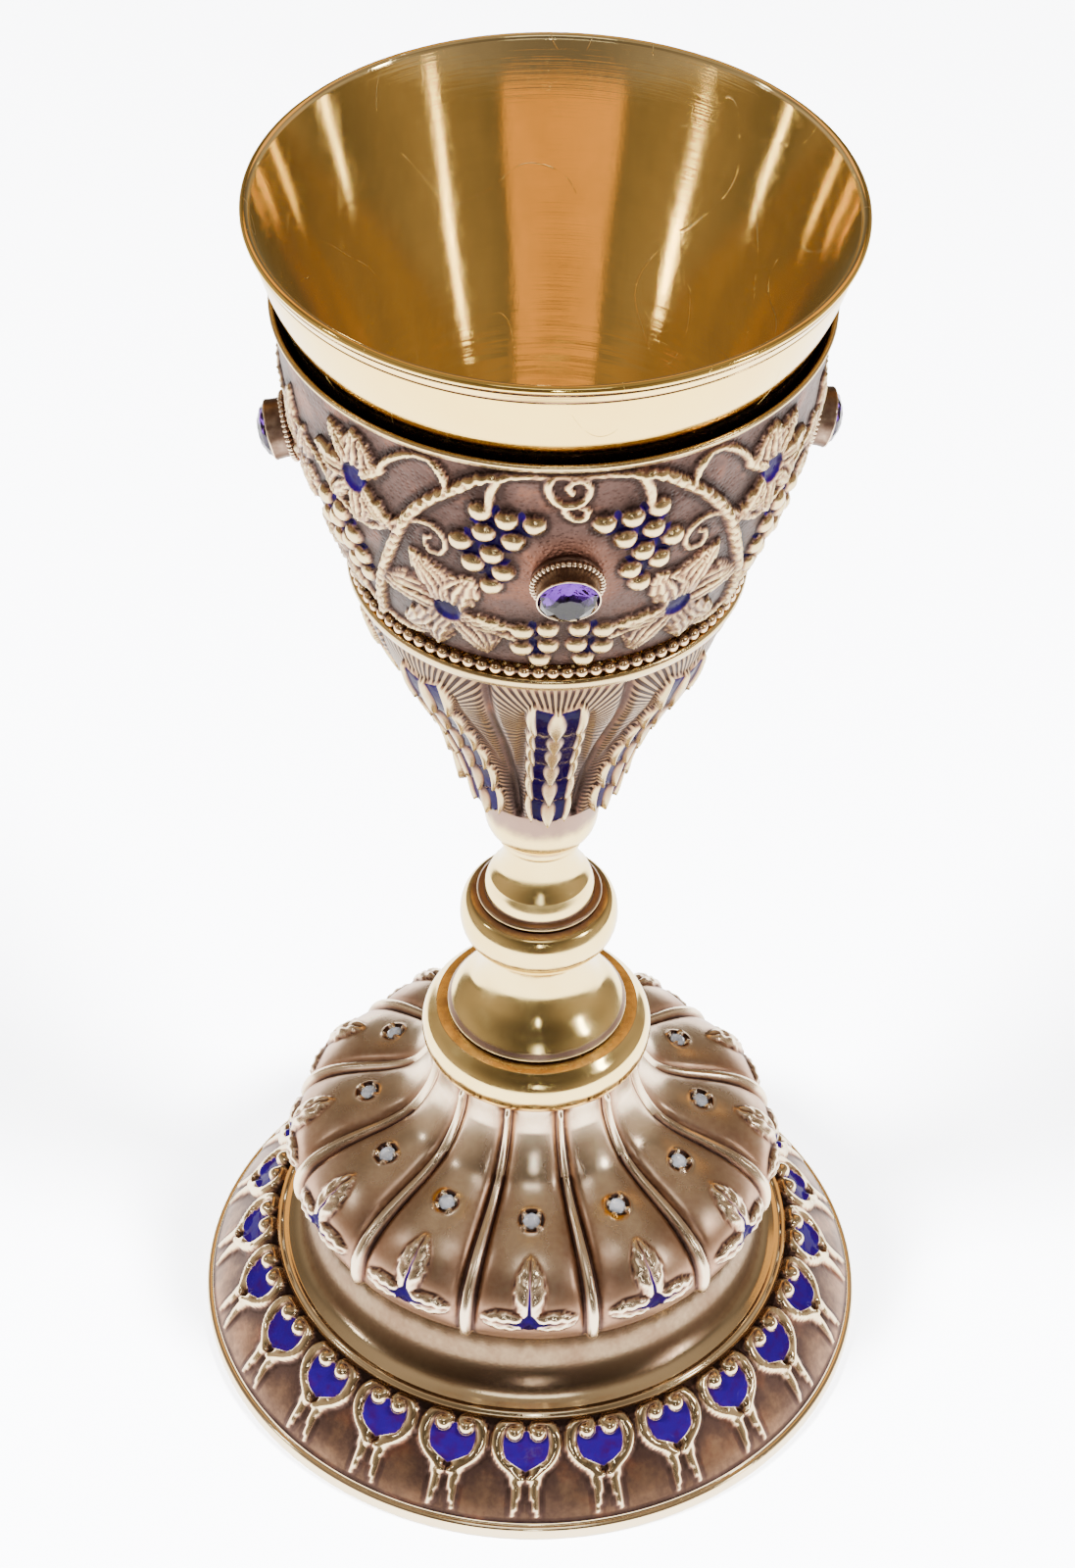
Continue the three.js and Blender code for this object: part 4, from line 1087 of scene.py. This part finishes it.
DOME_PROFILE = ((42.4, 33.4), (43.3, 35.4), (43.5, 37.6), (43.1, 40.0), (41.6, 42.6), (39, 44.9), (36, 46.7),
                (32, 48.4), (27, 50.4), (23, 53), (20, 57.5), (18.5, 62), (18, 65.9))
DOME_INSIDE = ((0, 63.6), (14.6, 63.6), (15.8, 60.5), (18.2, 54.4), (22, 50.4), (27.5, 47.4), (36, 43.2),
               (39.4, 40.0), (39.8, 37.0), (38.2, 34.6))
DOME_COLUMNS = 588
DOME_CREST = (0.95, 0.76, 0.52)
FOOT_LOBES = 12
BRILLIANT_RADIUS = 1.55
BRILLIANT_PLACE = 49.3
BRILLIANT_SIDES = 8
TREFOIL_EYE = 39.4
TREFOIL_RADIUS = 43.4
TREFOIL_LEAVES = ((0, 46.9, 0.26), (11.8, 39.6, 0.22), (-11.8, 39.6, 0.22))   # azimuth, height, half width
RESIDUE = ((30, 0.9), (-30, 0.7), (0, 0.35))   # orange polish left beside a stone, (azimuth, amount)


def trefoil(relief, rise):
    """Three pointed leaves round a star of enamel whose points run into their midribs. A leaf is as wide
    as a power of half a sine wave, notched by its teeth."""
    x, y = relief.local((0, TREFOIL_EYE))
    star = np.full(x.shape, -1.0)
    for azimuth, height, width in TREFOIL_LEAVES:
        ax = math.radians(azimuth) * TREFOIL_RADIUS
        ay = relief.skin.reach(height, 0, relief.rows) - relief.skin.reach(TREFOIL_EYE, 0, relief.rows)
        size = math.hypot(ax, ay)
        p = (x * ax + y * ay) / size ** 2
        q = (y * ax - x * ay) / size
        along = np.clip(p, 0, 1)
        half = width * size * np.sin(np.pi * (0.06 + 0.94 * along)) ** 0.85
        half = half * (1 - 0.14 * ((along * 4.2 + 0.2) % 1)) + 1e-3
        body = np.clip(1 - (q / half) ** 2, 0, 1) ** 0.4
        veins = 0.15 * np.cos(2 * np.pi * (along * 4.2 - np.abs(q) / half * 0.7))
        rib = 0.5 * np.exp(-(q / 0.24) ** 2)
        arch = 0.6 + 0.4 * np.sin(np.pi * along)
        inside = (p > 0.0) & (p < 1)
        relief.raise_to(np.where(inside, rise * body * (arch + veins - rib), 0))
        star = np.maximum(star, np.where(inside, 0.5 * (1 - along * 1.4) - np.abs(q), -1))
    star = np.maximum(star, 1.6 - np.hypot(x, y))
    relief.inlay(star, 0.3)


def make_dome():
    """The dome: lobes that swell as a power of half a sine wave from rim to collar and fall off to their
    sides, a half-round cord over each valley between them, and on each lobe a trefoil and a sunk seat for
    its brilliant, with four grains to hold it."""
    hidden = outline((4.0, *DOME_INSIDE[:2]), (3.0, *DOME_INSIDE[1:]), (1.5, DOME_INSIDE[-1], (38.2, 33.2)),
                     (2.0, (38.2, 33.2), (42.0, 33.2)), (0.3, (42.0, 33.2), (42.4, 33.4)))
    outside = outline((0.42, *DOME_PROFILE))
    profile = np.vstack([hidden, outside[1:], [[0, 65.9]]])
    skin = Skin(profile, DOME_COLUMNS)
    start = len(hidden) - 1
    shown = len(hidden) + len(outside) - 1
    row = np.arange(len(profile))[:, None]
    on = (row >= start) & (row < shown)
    s = skin.s - skin.s[start, 0]
    total = s[shown - 1, 0]
    half_lobe = 180 / FOOT_LOBES
    u = folded(skin.azimuth, 2 * half_lobe)
    d = ornament()
    share = np.clip(s / total, 0, 1)
    swell = 1.9 * np.sin(np.pi * np.clip(share * 1.12, 0, 1)) ** 0.9 * smoothstep(0, 0.12, share)
    side = np.clip(np.abs(u) / half_lobe, 0, 1)
    lobe = swell * (1 - side ** 2.2)
    gap = np.radians(half_lobe - np.abs(u)) * skin.r
    half = d.foot_cord / MM / 2 * (1 - 0.48 * smoothstep(0.1, 0.75, share))
    cord = half_round(gap, half, 1.15 * half)
    cord = cord * smoothstep(0.0, 0.03, share) * smoothstep(1.0, 0.96, share)
    valley = 0.75 * np.exp(-((gap - half) / 0.9) ** 2) * smoothstep(0.03, 0.12, share) * (gap > half * 0.8)
    relief = Relief(DomeRows(skin, start, shown), u)
    trefoil(relief, d.trefoil_rise / MM)
    bx, by = relief.local((0, BRILLIANT_PLACE))
    seat = np.hypot(bx, by)
    grains = sum(half_round(np.hypot(bx - 1.75 * math.cos(a), by - 1.75 * math.sin(a)), 0.55, 0.75)
                 for a in np.radians([45, 135, 225, 315]))
    collar = 0.35 * np.exp(-((seat - 2.15) / 0.35) ** 2)
    sunk = -0.9 * smoothstep(2.0, 1.75, seat)
    rise = lobe - valley + np.maximum(cord, relief.rise) + collar * 0.5 + sunk * (1 - grains) + grains
    ease = smoothstep(0, 0.8, s) * smoothstep(0, 1.2, total - s) * on
    tone = 0.50 + 0.36 * (1 - side ** 1.7) * smoothstep(0.05, 0.5, share)
    tone = tone - 0.40 * np.exp(-((gap - half) / 0.7) ** 2)
    tone = np.where(cord > 0.05, 0.98, tone)
    crest = worn(relief.rise, 2, d.trefoil_rise / MM) + 0.2
    tone = np.where(relief.rise > 0.06, crest, tone - 0.4 * smoothstep(0, 0.35, soften(relief.rise, 2)))
    tone = tone - 0.9 * smoothstep(2.5, 2.0, seat) + 0.9 * (grains > 0.2) + 1.2 * smoothstep(1.75, 1.5, seat)
    tone = np.where(on, tone, 0.05)
    lobes = [np.abs(folded(skin.azimuth - azimuth, 360)) < half_lobe for azimuth, _ in RESIDUE]
    amount = np.select(lobes, [share for _, share in RESIDUE], 0)
    rust = amount * np.exp(-((seat - 2.5) / 0.45) ** 2) * smoothstep(-2.0, 1.5, -bx - 0.3 * by)
    fields = {"tone": np.clip(tone, 0, 1), "enamel": np.where(on, relief.enamel, -1.0),
              "rust": np.where(on, rust, 0)}
    mesh = turned_mesh("foot_dome_skin", skin, rise * ease, fields)
    finish = embossed("dome_patina", finishes().foot_ground, DOME_CREST, 0.55, 0.24, 0.004)
    add_piece("Lobed_foot_dome", mesh, finish, "foot_patina", "Foot_dome")
    make_brilliants(skin, start, shown, swell)


class DomeRows:
    """The dome's shown rows, so that a height is looked up on its outside alone, whichever rows are asked
    for."""

    def __init__(self, skin, start, shown):
        self.r, self.z, self.s = skin.r, skin.z, skin.s
        self.start, self.shown = start, shown
        self.skin = skin

    def reach(self, height, first=0, last=None):
        return self.skin.reach(height, self.start, self.shown)


def make_brilliants(skin, start, shown, swell):
    """Twelve brilliants, one on each lobe, each laid on the swell's surface along its normal."""
    rows = slice(start, shown)
    place = skin.reach(BRILLIANT_PLACE, start, shown)
    s = skin.s[rows, 0]
    r, z, nr, nz, out = (float(np.interp(place, s, v[rows, 0]))
                         for v in (skin.r, skin.z, skin.nr, skin.nz, swell))
    middle = (r + (out - 0.35) * nr, z + (out - 0.35) * nz)
    tilt = -math.degrees(math.atan2(nz, nr))
    clear = cut_stone("brilliant", (0.26, 0.27, 0.30), 2.1, 0.4, 0.75)
    points, faces = facet_stone(BRILLIANT_RADIUS, BRILLIANT_CUT, BRILLIANT_SIDES)
    for k in range(FOOT_LOBES):
        placed = tilted(points, 360 / FOOT_LOBES * k, middle, tilt)
        name = f"{k + 1:02d}"
        mesh = mesh_from(f"brilliant_{name}_cut", placed, np.empty((0, 4), int), faces, smooth=False)
        add_piece(f"Cut_brilliant_{name}", mesh, clear, "brilliant", f"Brilliant_{name}")


BASE_COLUMNS = 672
BASE_CREST = (0.88, 0.70, 0.42)
HEARTS = 24
SCROLL = ((1.0, -0.3), (1.05, -1.15), (2.1, -1.9), (3.7, -1.5), (4.9, -0.1), (5.35, 1.9), (4.9, 4.1),
          (3.6, 5.9), (2.0, 7.2), (0.7, 8.2))
TAIL = ((2.3, 6.0), (1.75, 8.0), (1.6, 10.0), (1.85, 12.2), (2.2, 14.6))
BALL = (2.12, 0.0)


def heart_relief(x, y, width, rise):
    """A heart of enamel in two scrolls that start round a ball, meet at the point and end in tails.
    x is the distance from the heart's middle line, to either side, and y that down the slope."""
    band, along = nearest(x, y, flow(SCROLL, 0.7, 0))
    radius = width / 2 * (0.72 + 0.42 * np.sin(np.pi * np.clip(along * 1.05, 0, 1)))
    height = half_round(band, radius, rise)
    height = height * (1 - 0.18 * np.exp(-(band / 0.22) ** 2) * smoothstep(0.15, 0.4, along))
    tail, down = nearest(x, y, flow(TAIL, 0.7, 0))
    stroke = half_round(tail, width * (0.76 - 0.56 * down), 1) ** 0.75 * smoothstep(0.05, 0.55, x)
    height = np.maximum(height, rise * (0.85 - 0.5 * down) * stroke)
    ball = np.hypot(x - BALL[0], y - BALL[1])
    height = np.maximum(height, half_round(ball, 1.6, 1.45 * rise))
    blob = np.minimum(4.15 - np.hypot(x, (y - 2.2) * 0.86), 6.9 - y - 0.62 * x)
    depth = np.minimum(np.minimum(blob, band - radius * 0.72), ball - 1.5)
    depth = np.minimum(depth, y + 0.4)
    return height, depth


def make_base():
    """The base: a plain edge, a flange with a heart in each of its equal parts, a polished neck that
    flares, and the hollow under them, as one closed section."""
    rim = outline((0.5, (57.6, 0), (60.6, 0)), (0.25, (60.6, 0), (61.0, 0.25), (61.1, 0.8)),
                  (0.6, (61.1, 0.8), (61.1, 2.0)), (0.2, (61.1, 2.0), (60.95, 2.6), (60.5, 2.9)),
                  (0.2, (60.5, 2.9), (60.1, 2.95), (59.9, 3.3)))
    flange = outline((0.34, (59.9, 3.3), (58, 6.2), (54, 10.9), (49.5, 15.5), (47.5, 17.0)))
    neck = outline((0.3, (47.5, 17.0), (46.9, 16.9), (46.3, 17.5), (45.4, 17.5)),
                   (1.0, (45.4, 17.5), (43.3, 18.3), (40.7, 20.8), (39.0, 24.5), (38.7, 29), (39.6, 32.9)))
    inside = outline((1.0, (39.6, 32.9), (37.4, 32.9)),
                     (4.0, (37.4, 32.9), (37.2, 25), (39.4, 19.8), (44.0, 16.2)),
                     (4.0, (44.0, 16.2), (51.5, 10.8), (57.6, 4)), (2.0, (57.6, 4), (57.6, 0.0)))
    profile = np.vstack([rim, flange[1:], neck[1:], inside[1:-1]])
    skin = Skin(profile, BASE_COLUMNS)
    start, shown = len(rim) - 1, len(rim) + len(flange) - 1
    row = np.arange(len(profile))[:, None]
    on = (row >= start) & (row < shown)
    d = ornament()
    sway = 0.12 * drift(skin.azimuth, 0 * skin.z, 24, 5)
    u = folded(skin.azimuth + sway, 360 / HEARTS)
    x = np.abs(np.radians(u)) * skin.r
    y = skin.reach(15.6, start, shown) - skin.s + 0 * x
    rise, glaze = heart_relief(x, y, d.scroll_width / MM, d.scroll_rise / MM)
    s = skin.s - skin.s[start, 0]
    total = s[shown - 1, 0]
    ease = smoothstep(0, 0.8, s) * smoothstep(0, 0.5, total - s) * on
    level = 0.25 * smoothstep(0.0, 0.5, glaze)
    relief = (np.maximum(rise, level) + 0.04 * drift(skin.azimuth, skin.z, 6, 11)) * ease
    tone = worn(rise, 2, d.scroll_rise / MM) + 0.14
    tone = tone - 0.35 * smoothstep(1.6, 0.2, total - s) - 0.3 * smoothstep(1.0, 0.1, s)
    polished = (row < start) | ((row >= shown) & (row < shown + len(neck) - 1))
    # Painted shade: above about 18 mm the neck is darkened, by a lower tone here and by dim, under the dome
    tone = np.where(on, tone, np.where(polished, 0.97 - 0.3 * (skin.z > 18.2), 0.05))
    dim = 0.62 * (row >= shown) * smoothstep(18.0, 19.5, skin.z)
    fields = {"tone": np.clip(tone, 0, 1), "enamel": np.where(on, glaze, -1.0), "dim": dim}
    mesh = turned_mesh("foot_base_skin", skin, relief, fields)
    finish = embossed("base_patina", finishes().foot_ground, BASE_CREST, 0.6, 0.13, 0.012)
    add_piece("Heart_ringed_base", mesh, finish, "foot_patina", "Foot_base")


# Stage

CAMERA_BACK, CAMERA_HEIGHT = 496.05, 579.9
CAMERA_PITCH, CAMERA_ROLL, CAMERA_YAW = 0.7396, -0.0228, -0.0015
FOCAL_PIXELS, IMAGE_HEIGHT = 4064.4, 1600
SENSOR = 36.0
FLOOR_REACH = 2.5


def make_camera():
    """The photograph's camera: it looks along +Y, turned down by the pitch and round its own axis by the
    roll, and its lens is the focal length in pixels on a sensor whose long side is the image's height."""
    pitch, roll, yaw = CAMERA_PITCH, CAMERA_ROLL, CAMERA_YAW
    ahead = np.array([math.sin(yaw) * math.cos(pitch), math.cos(yaw) * math.cos(pitch), -math.sin(pitch)])
    level = np.array([math.cos(yaw), -math.sin(yaw), 0.0])
    down = np.cross(ahead, level)
    right = math.cos(roll) * level + math.sin(roll) * down
    lower = math.cos(roll) * down - math.sin(roll) * level
    matrix = Matrix.Identity(4)
    for row in range(3):
        matrix[row][:3] = (right[row], -lower[row], -ahead[row])
    matrix[0][3], matrix[1][3], matrix[2][3] = 0.0, -CAMERA_BACK * MM, CAMERA_HEIGHT * MM
    data = bpy.data.cameras.new("camera")
    data.sensor_width = SENSOR
    data.lens = FOCAL_PIXELS * SENSOR / IMAGE_HEIGHT
    data.clip_start, data.clip_end = 0.01, 20
    camera = bpy.data.objects.new("camera", data)
    camera.matrix_world = matrix
    bpy.context.scene.collection.objects.link(camera)
    bpy.context.scene.camera = camera


def soft_light(name, place, aim, size, power, tint=(1, 1, 1)):
    """A rectangular area light at a place, in metres, turned to face another."""
    data = bpy.data.lights.new(name, "AREA")
    data.shape = "RECTANGLE"
    data.size, data.size_y = size
    data.energy = power
    data.color = tint
    light = bpy.data.objects.new(name, data)
    place, aim = np.array(place, float), np.array(aim, float)
    back = place - aim
    back /= np.linalg.norm(back)
    side = np.cross([0, 0, 1], back)
    side /= max(np.linalg.norm(side), 1e-6)
    matrix = Matrix.Identity(4)
    up = np.cross(back, side)
    for row in range(3):
        matrix[row][:3] = (side[row], up[row], back[row])
        matrix[row][3] = place[row]
    light.matrix_world = matrix
    bpy.context.scene.collection.objects.link(light)
    return light


def make_floor():
    """The table. A camera's film clips its white, so the camera sees it brightly lit, while the chalice
    mirrors a plain glow of the strength that the film would record."""
    f = Finish("pale_floor")
    stage = bpy.context.scene.chalice_stage
    seen = f.node("ShaderNodeLightPath", output="Is Camera Ray")
    lit = f.node("ShaderNodeBsdfDiffuse", {}, {"Color": (*stage.floor, 1.0)})
    glow = f.node("ShaderNodeEmission", {}, {"Color": (1.0, 0.985, 0.96, 1.0), "Strength": stage.glow})
    dark = f.node("ShaderNodeEmission", {}, {"Color": (*stage.room, 1.0), "Strength": 1.0})
    away = f.node("ShaderNodeVectorMath", {"operation": "LENGTH"}, {0: f.place}, output="Value")
    beyond = f.ramp(away, stage.table, 1.4 * stage.table)
    mirrored = f.node("ShaderNodeMixShader", {}, {0: beyond, 1: glow, 2: dark})
    mixed = f.node("ShaderNodeMixShader", {}, {0: seen, 1: mirrored, 2: lit})
    end = f.tree.nodes.new("ShaderNodeOutputMaterial")
    f.tree.links.new(mixed.socket, end.inputs["Surface"])
    mesh = bpy.data.meshes.new("floor")
    corners = [(x * FLOOR_REACH, y * FLOOR_REACH, 0) for x, y in ((-1, -1), (1, -1), (1, 1), (-1, 1))]
    mesh.from_pydata(corners, [], [(0, 1, 2, 3)])
    mesh.materials.append(f.material)
    floor = bpy.data.objects.new("floor", mesh)
    bpy.context.scene.collection.objects.link(floor)


def make_world(room):
    """The room around the table. Its colour goes from the room's own at table height to darker above and
    bright overhead, and its strength grows with the square of the distance to either side."""
    world = bpy.data.worlds.new("studio")
    world.use_nodes = True
    nodes, links = world.node_tree.nodes, world.node_tree.links
    place, parts, sky, square, walls = (nodes.new(f"ShaderNode{kind}") for kind in (
        "TexCoord", "SeparateXYZ", "ValToRGB", "Math", "Math"))
    square.operation, walls.operation = "MULTIPLY", "MULTIPLY_ADD"
    walls.inputs[1].default_value, walls.inputs[2].default_value = 1.5, 0.55
    for slot in (0, 1):
        links.new(parts.outputs["X"], square.inputs[slot])
    links.new(square.outputs[0], walls.inputs[0])
    links.new(walls.outputs[0], nodes["Background"].inputs["Strength"])
    stops = sky.color_ramp.elements
    stops.new(0.70)
    for stop, (height, share) in zip(stops, ((0.25, 1.0), (0.70, 0.5), (0.93, 1.9))):
        stop.position, stop.color = height, (*[share * c for c in room], 1)
    links.new(place.outputs["Generated"], parts.inputs[0])
    links.new(parts.outputs["Z"], sky.inputs["Fac"])
    links.new(sky.outputs["Color"], nodes["Background"].inputs["Color"])
    bpy.context.scene.world = world


def make_stage():
    """The camera, the table, three windows, a wooden wall and a ceiling that the metal mirrors, and two
    lights overhead that it doesn't."""
    make_camera()
    make_floor()
    stage = bpy.context.scene.chalice_stage
    soft_light("left_window", (-1.24, -0.09, 1.04), (0, 0, 0.2), (0.07, 0.18), 0.019 * stage.key)
    soft_light("right_window", (1.24, -0.45, 0.91), (0, 0, 0.2), (0.15, 0.26), 0.06 * stage.key)
    soft_light("front_window", (0.08, -1.54, 0.92), (0, 0, 0.2), (0.05, 0.42), 0.03 * stage.key)
    soft_light("wooden_wall", (0.10, 1.32, 1.57), (0, 0, 0.2), (2.5, 0.62), 5.0, stage.panel)
    soft_light("ceiling", (0.0, -0.75, 1.75), (0, 0, 0.05), (0.8, 0.35), 2.2)
    for side in (-1, 1):
        place = (1.0 * side, -0.45, 1.5)
        overhead = soft_light(f"overhead_{side + 2}", place, (0, 0.1, 0), (0.4, 0.4), stage.top)
        overhead.visible_glossy = False
    make_world(stage.room)


# Operators, one to each piece or group of like pieces

def piece_operator(idname, label, words, action):
    """An operator class that runs one of the functions above."""

    def execute(self, context):
        action()
        return {"FINISHED"}

    return type(f"CHALICE_OT_{idname}", (bpy.types.Operator,), {
        "__doc__": words, "bl_idname": f"chalice.{idname}", "bl_label": label,
        "bl_options": {"REGISTER", "UNDO"}, "execute": execute,
    })


STEPS = (
    ("cup", "Gilt cup", "Build the polished cup with its rolled lip", make_cup),
    ("shell", "Vine shell", "Build the embossed shell of vine, leaves and grapes", make_shell),
    ("beads", "Bead ring", "Build the string of beads under the shell", make_bead_ring),
    ("calyx", "Wheat calyx", "Build the fluted calyx with its eight wheat ears", make_calyx),
    ("stones", "Amethysts", "Build the four amethysts, their bezels and corded rings", make_stones),
    ("stem", "Stem", "Build the five turned pieces of the stem", make_stem),
    ("dome", "Foot dome", "Build the lobed dome of the foot and its brilliants", make_dome),
    ("base", "Foot base", "Build the base with its ring of enamelled hearts", make_base),
    ("stage", "Stage", "Build the floor, the lights and the camera", make_stage),
)
OPERATORS = tuple(piece_operator(*step) for step in STEPS)


class CHALICE_PT_panel(bpy.types.Panel):
    """The chalice's pieces and settings."""

    bl_label = "Chalice"
    bl_idname = "CHALICE_PT_panel"
    bl_space_type = "VIEW_3D"
    bl_region_type = "UI"
    bl_category = "Chalice"

    def draw(self, context):
        layout = self.layout
        for operator in OPERATORS:
            layout.operator(operator.bl_idname)
        scene = context.scene
        for group in (scene.chalice_ornament, scene.chalice_finishes, scene.chalice_stage):
            column = layout.column()
            for name in group.bl_rna.properties.keys():
                if name not in ("rna_type", "name"):
                    column.prop(group, name)


CLASSES = (ChaliceOrnament, ChaliceFinishes, ChaliceStage, *OPERATORS, CHALICE_PT_panel)


def register():
    """Makes the settings, the operators and the panel known, and hangs the settings on the scene."""
    for part in CLASSES:
        bpy.utils.register_class(part)
    bpy.types.Scene.chalice_ornament = PointerProperty(type=ChaliceOrnament)
    bpy.types.Scene.chalice_finishes = PointerProperty(type=ChaliceFinishes)
    bpy.types.Scene.chalice_stage = PointerProperty(type=ChaliceStage)


def unregister():
    """Takes away what register made."""
    del bpy.types.Scene.chalice_stage
    del bpy.types.Scene.chalice_finishes
    del bpy.types.Scene.chalice_ornament
    for part in reversed(CLASSES):
        bpy.utils.unregister_class(part)


def main():
    """Builds every piece in order and writes the sizes of the packed frame and of what is shown."""
    register()
    for name, *_ in STEPS:
        getattr(bpy.ops.chalice, name)()


if __name__ == "__main__":
    main()
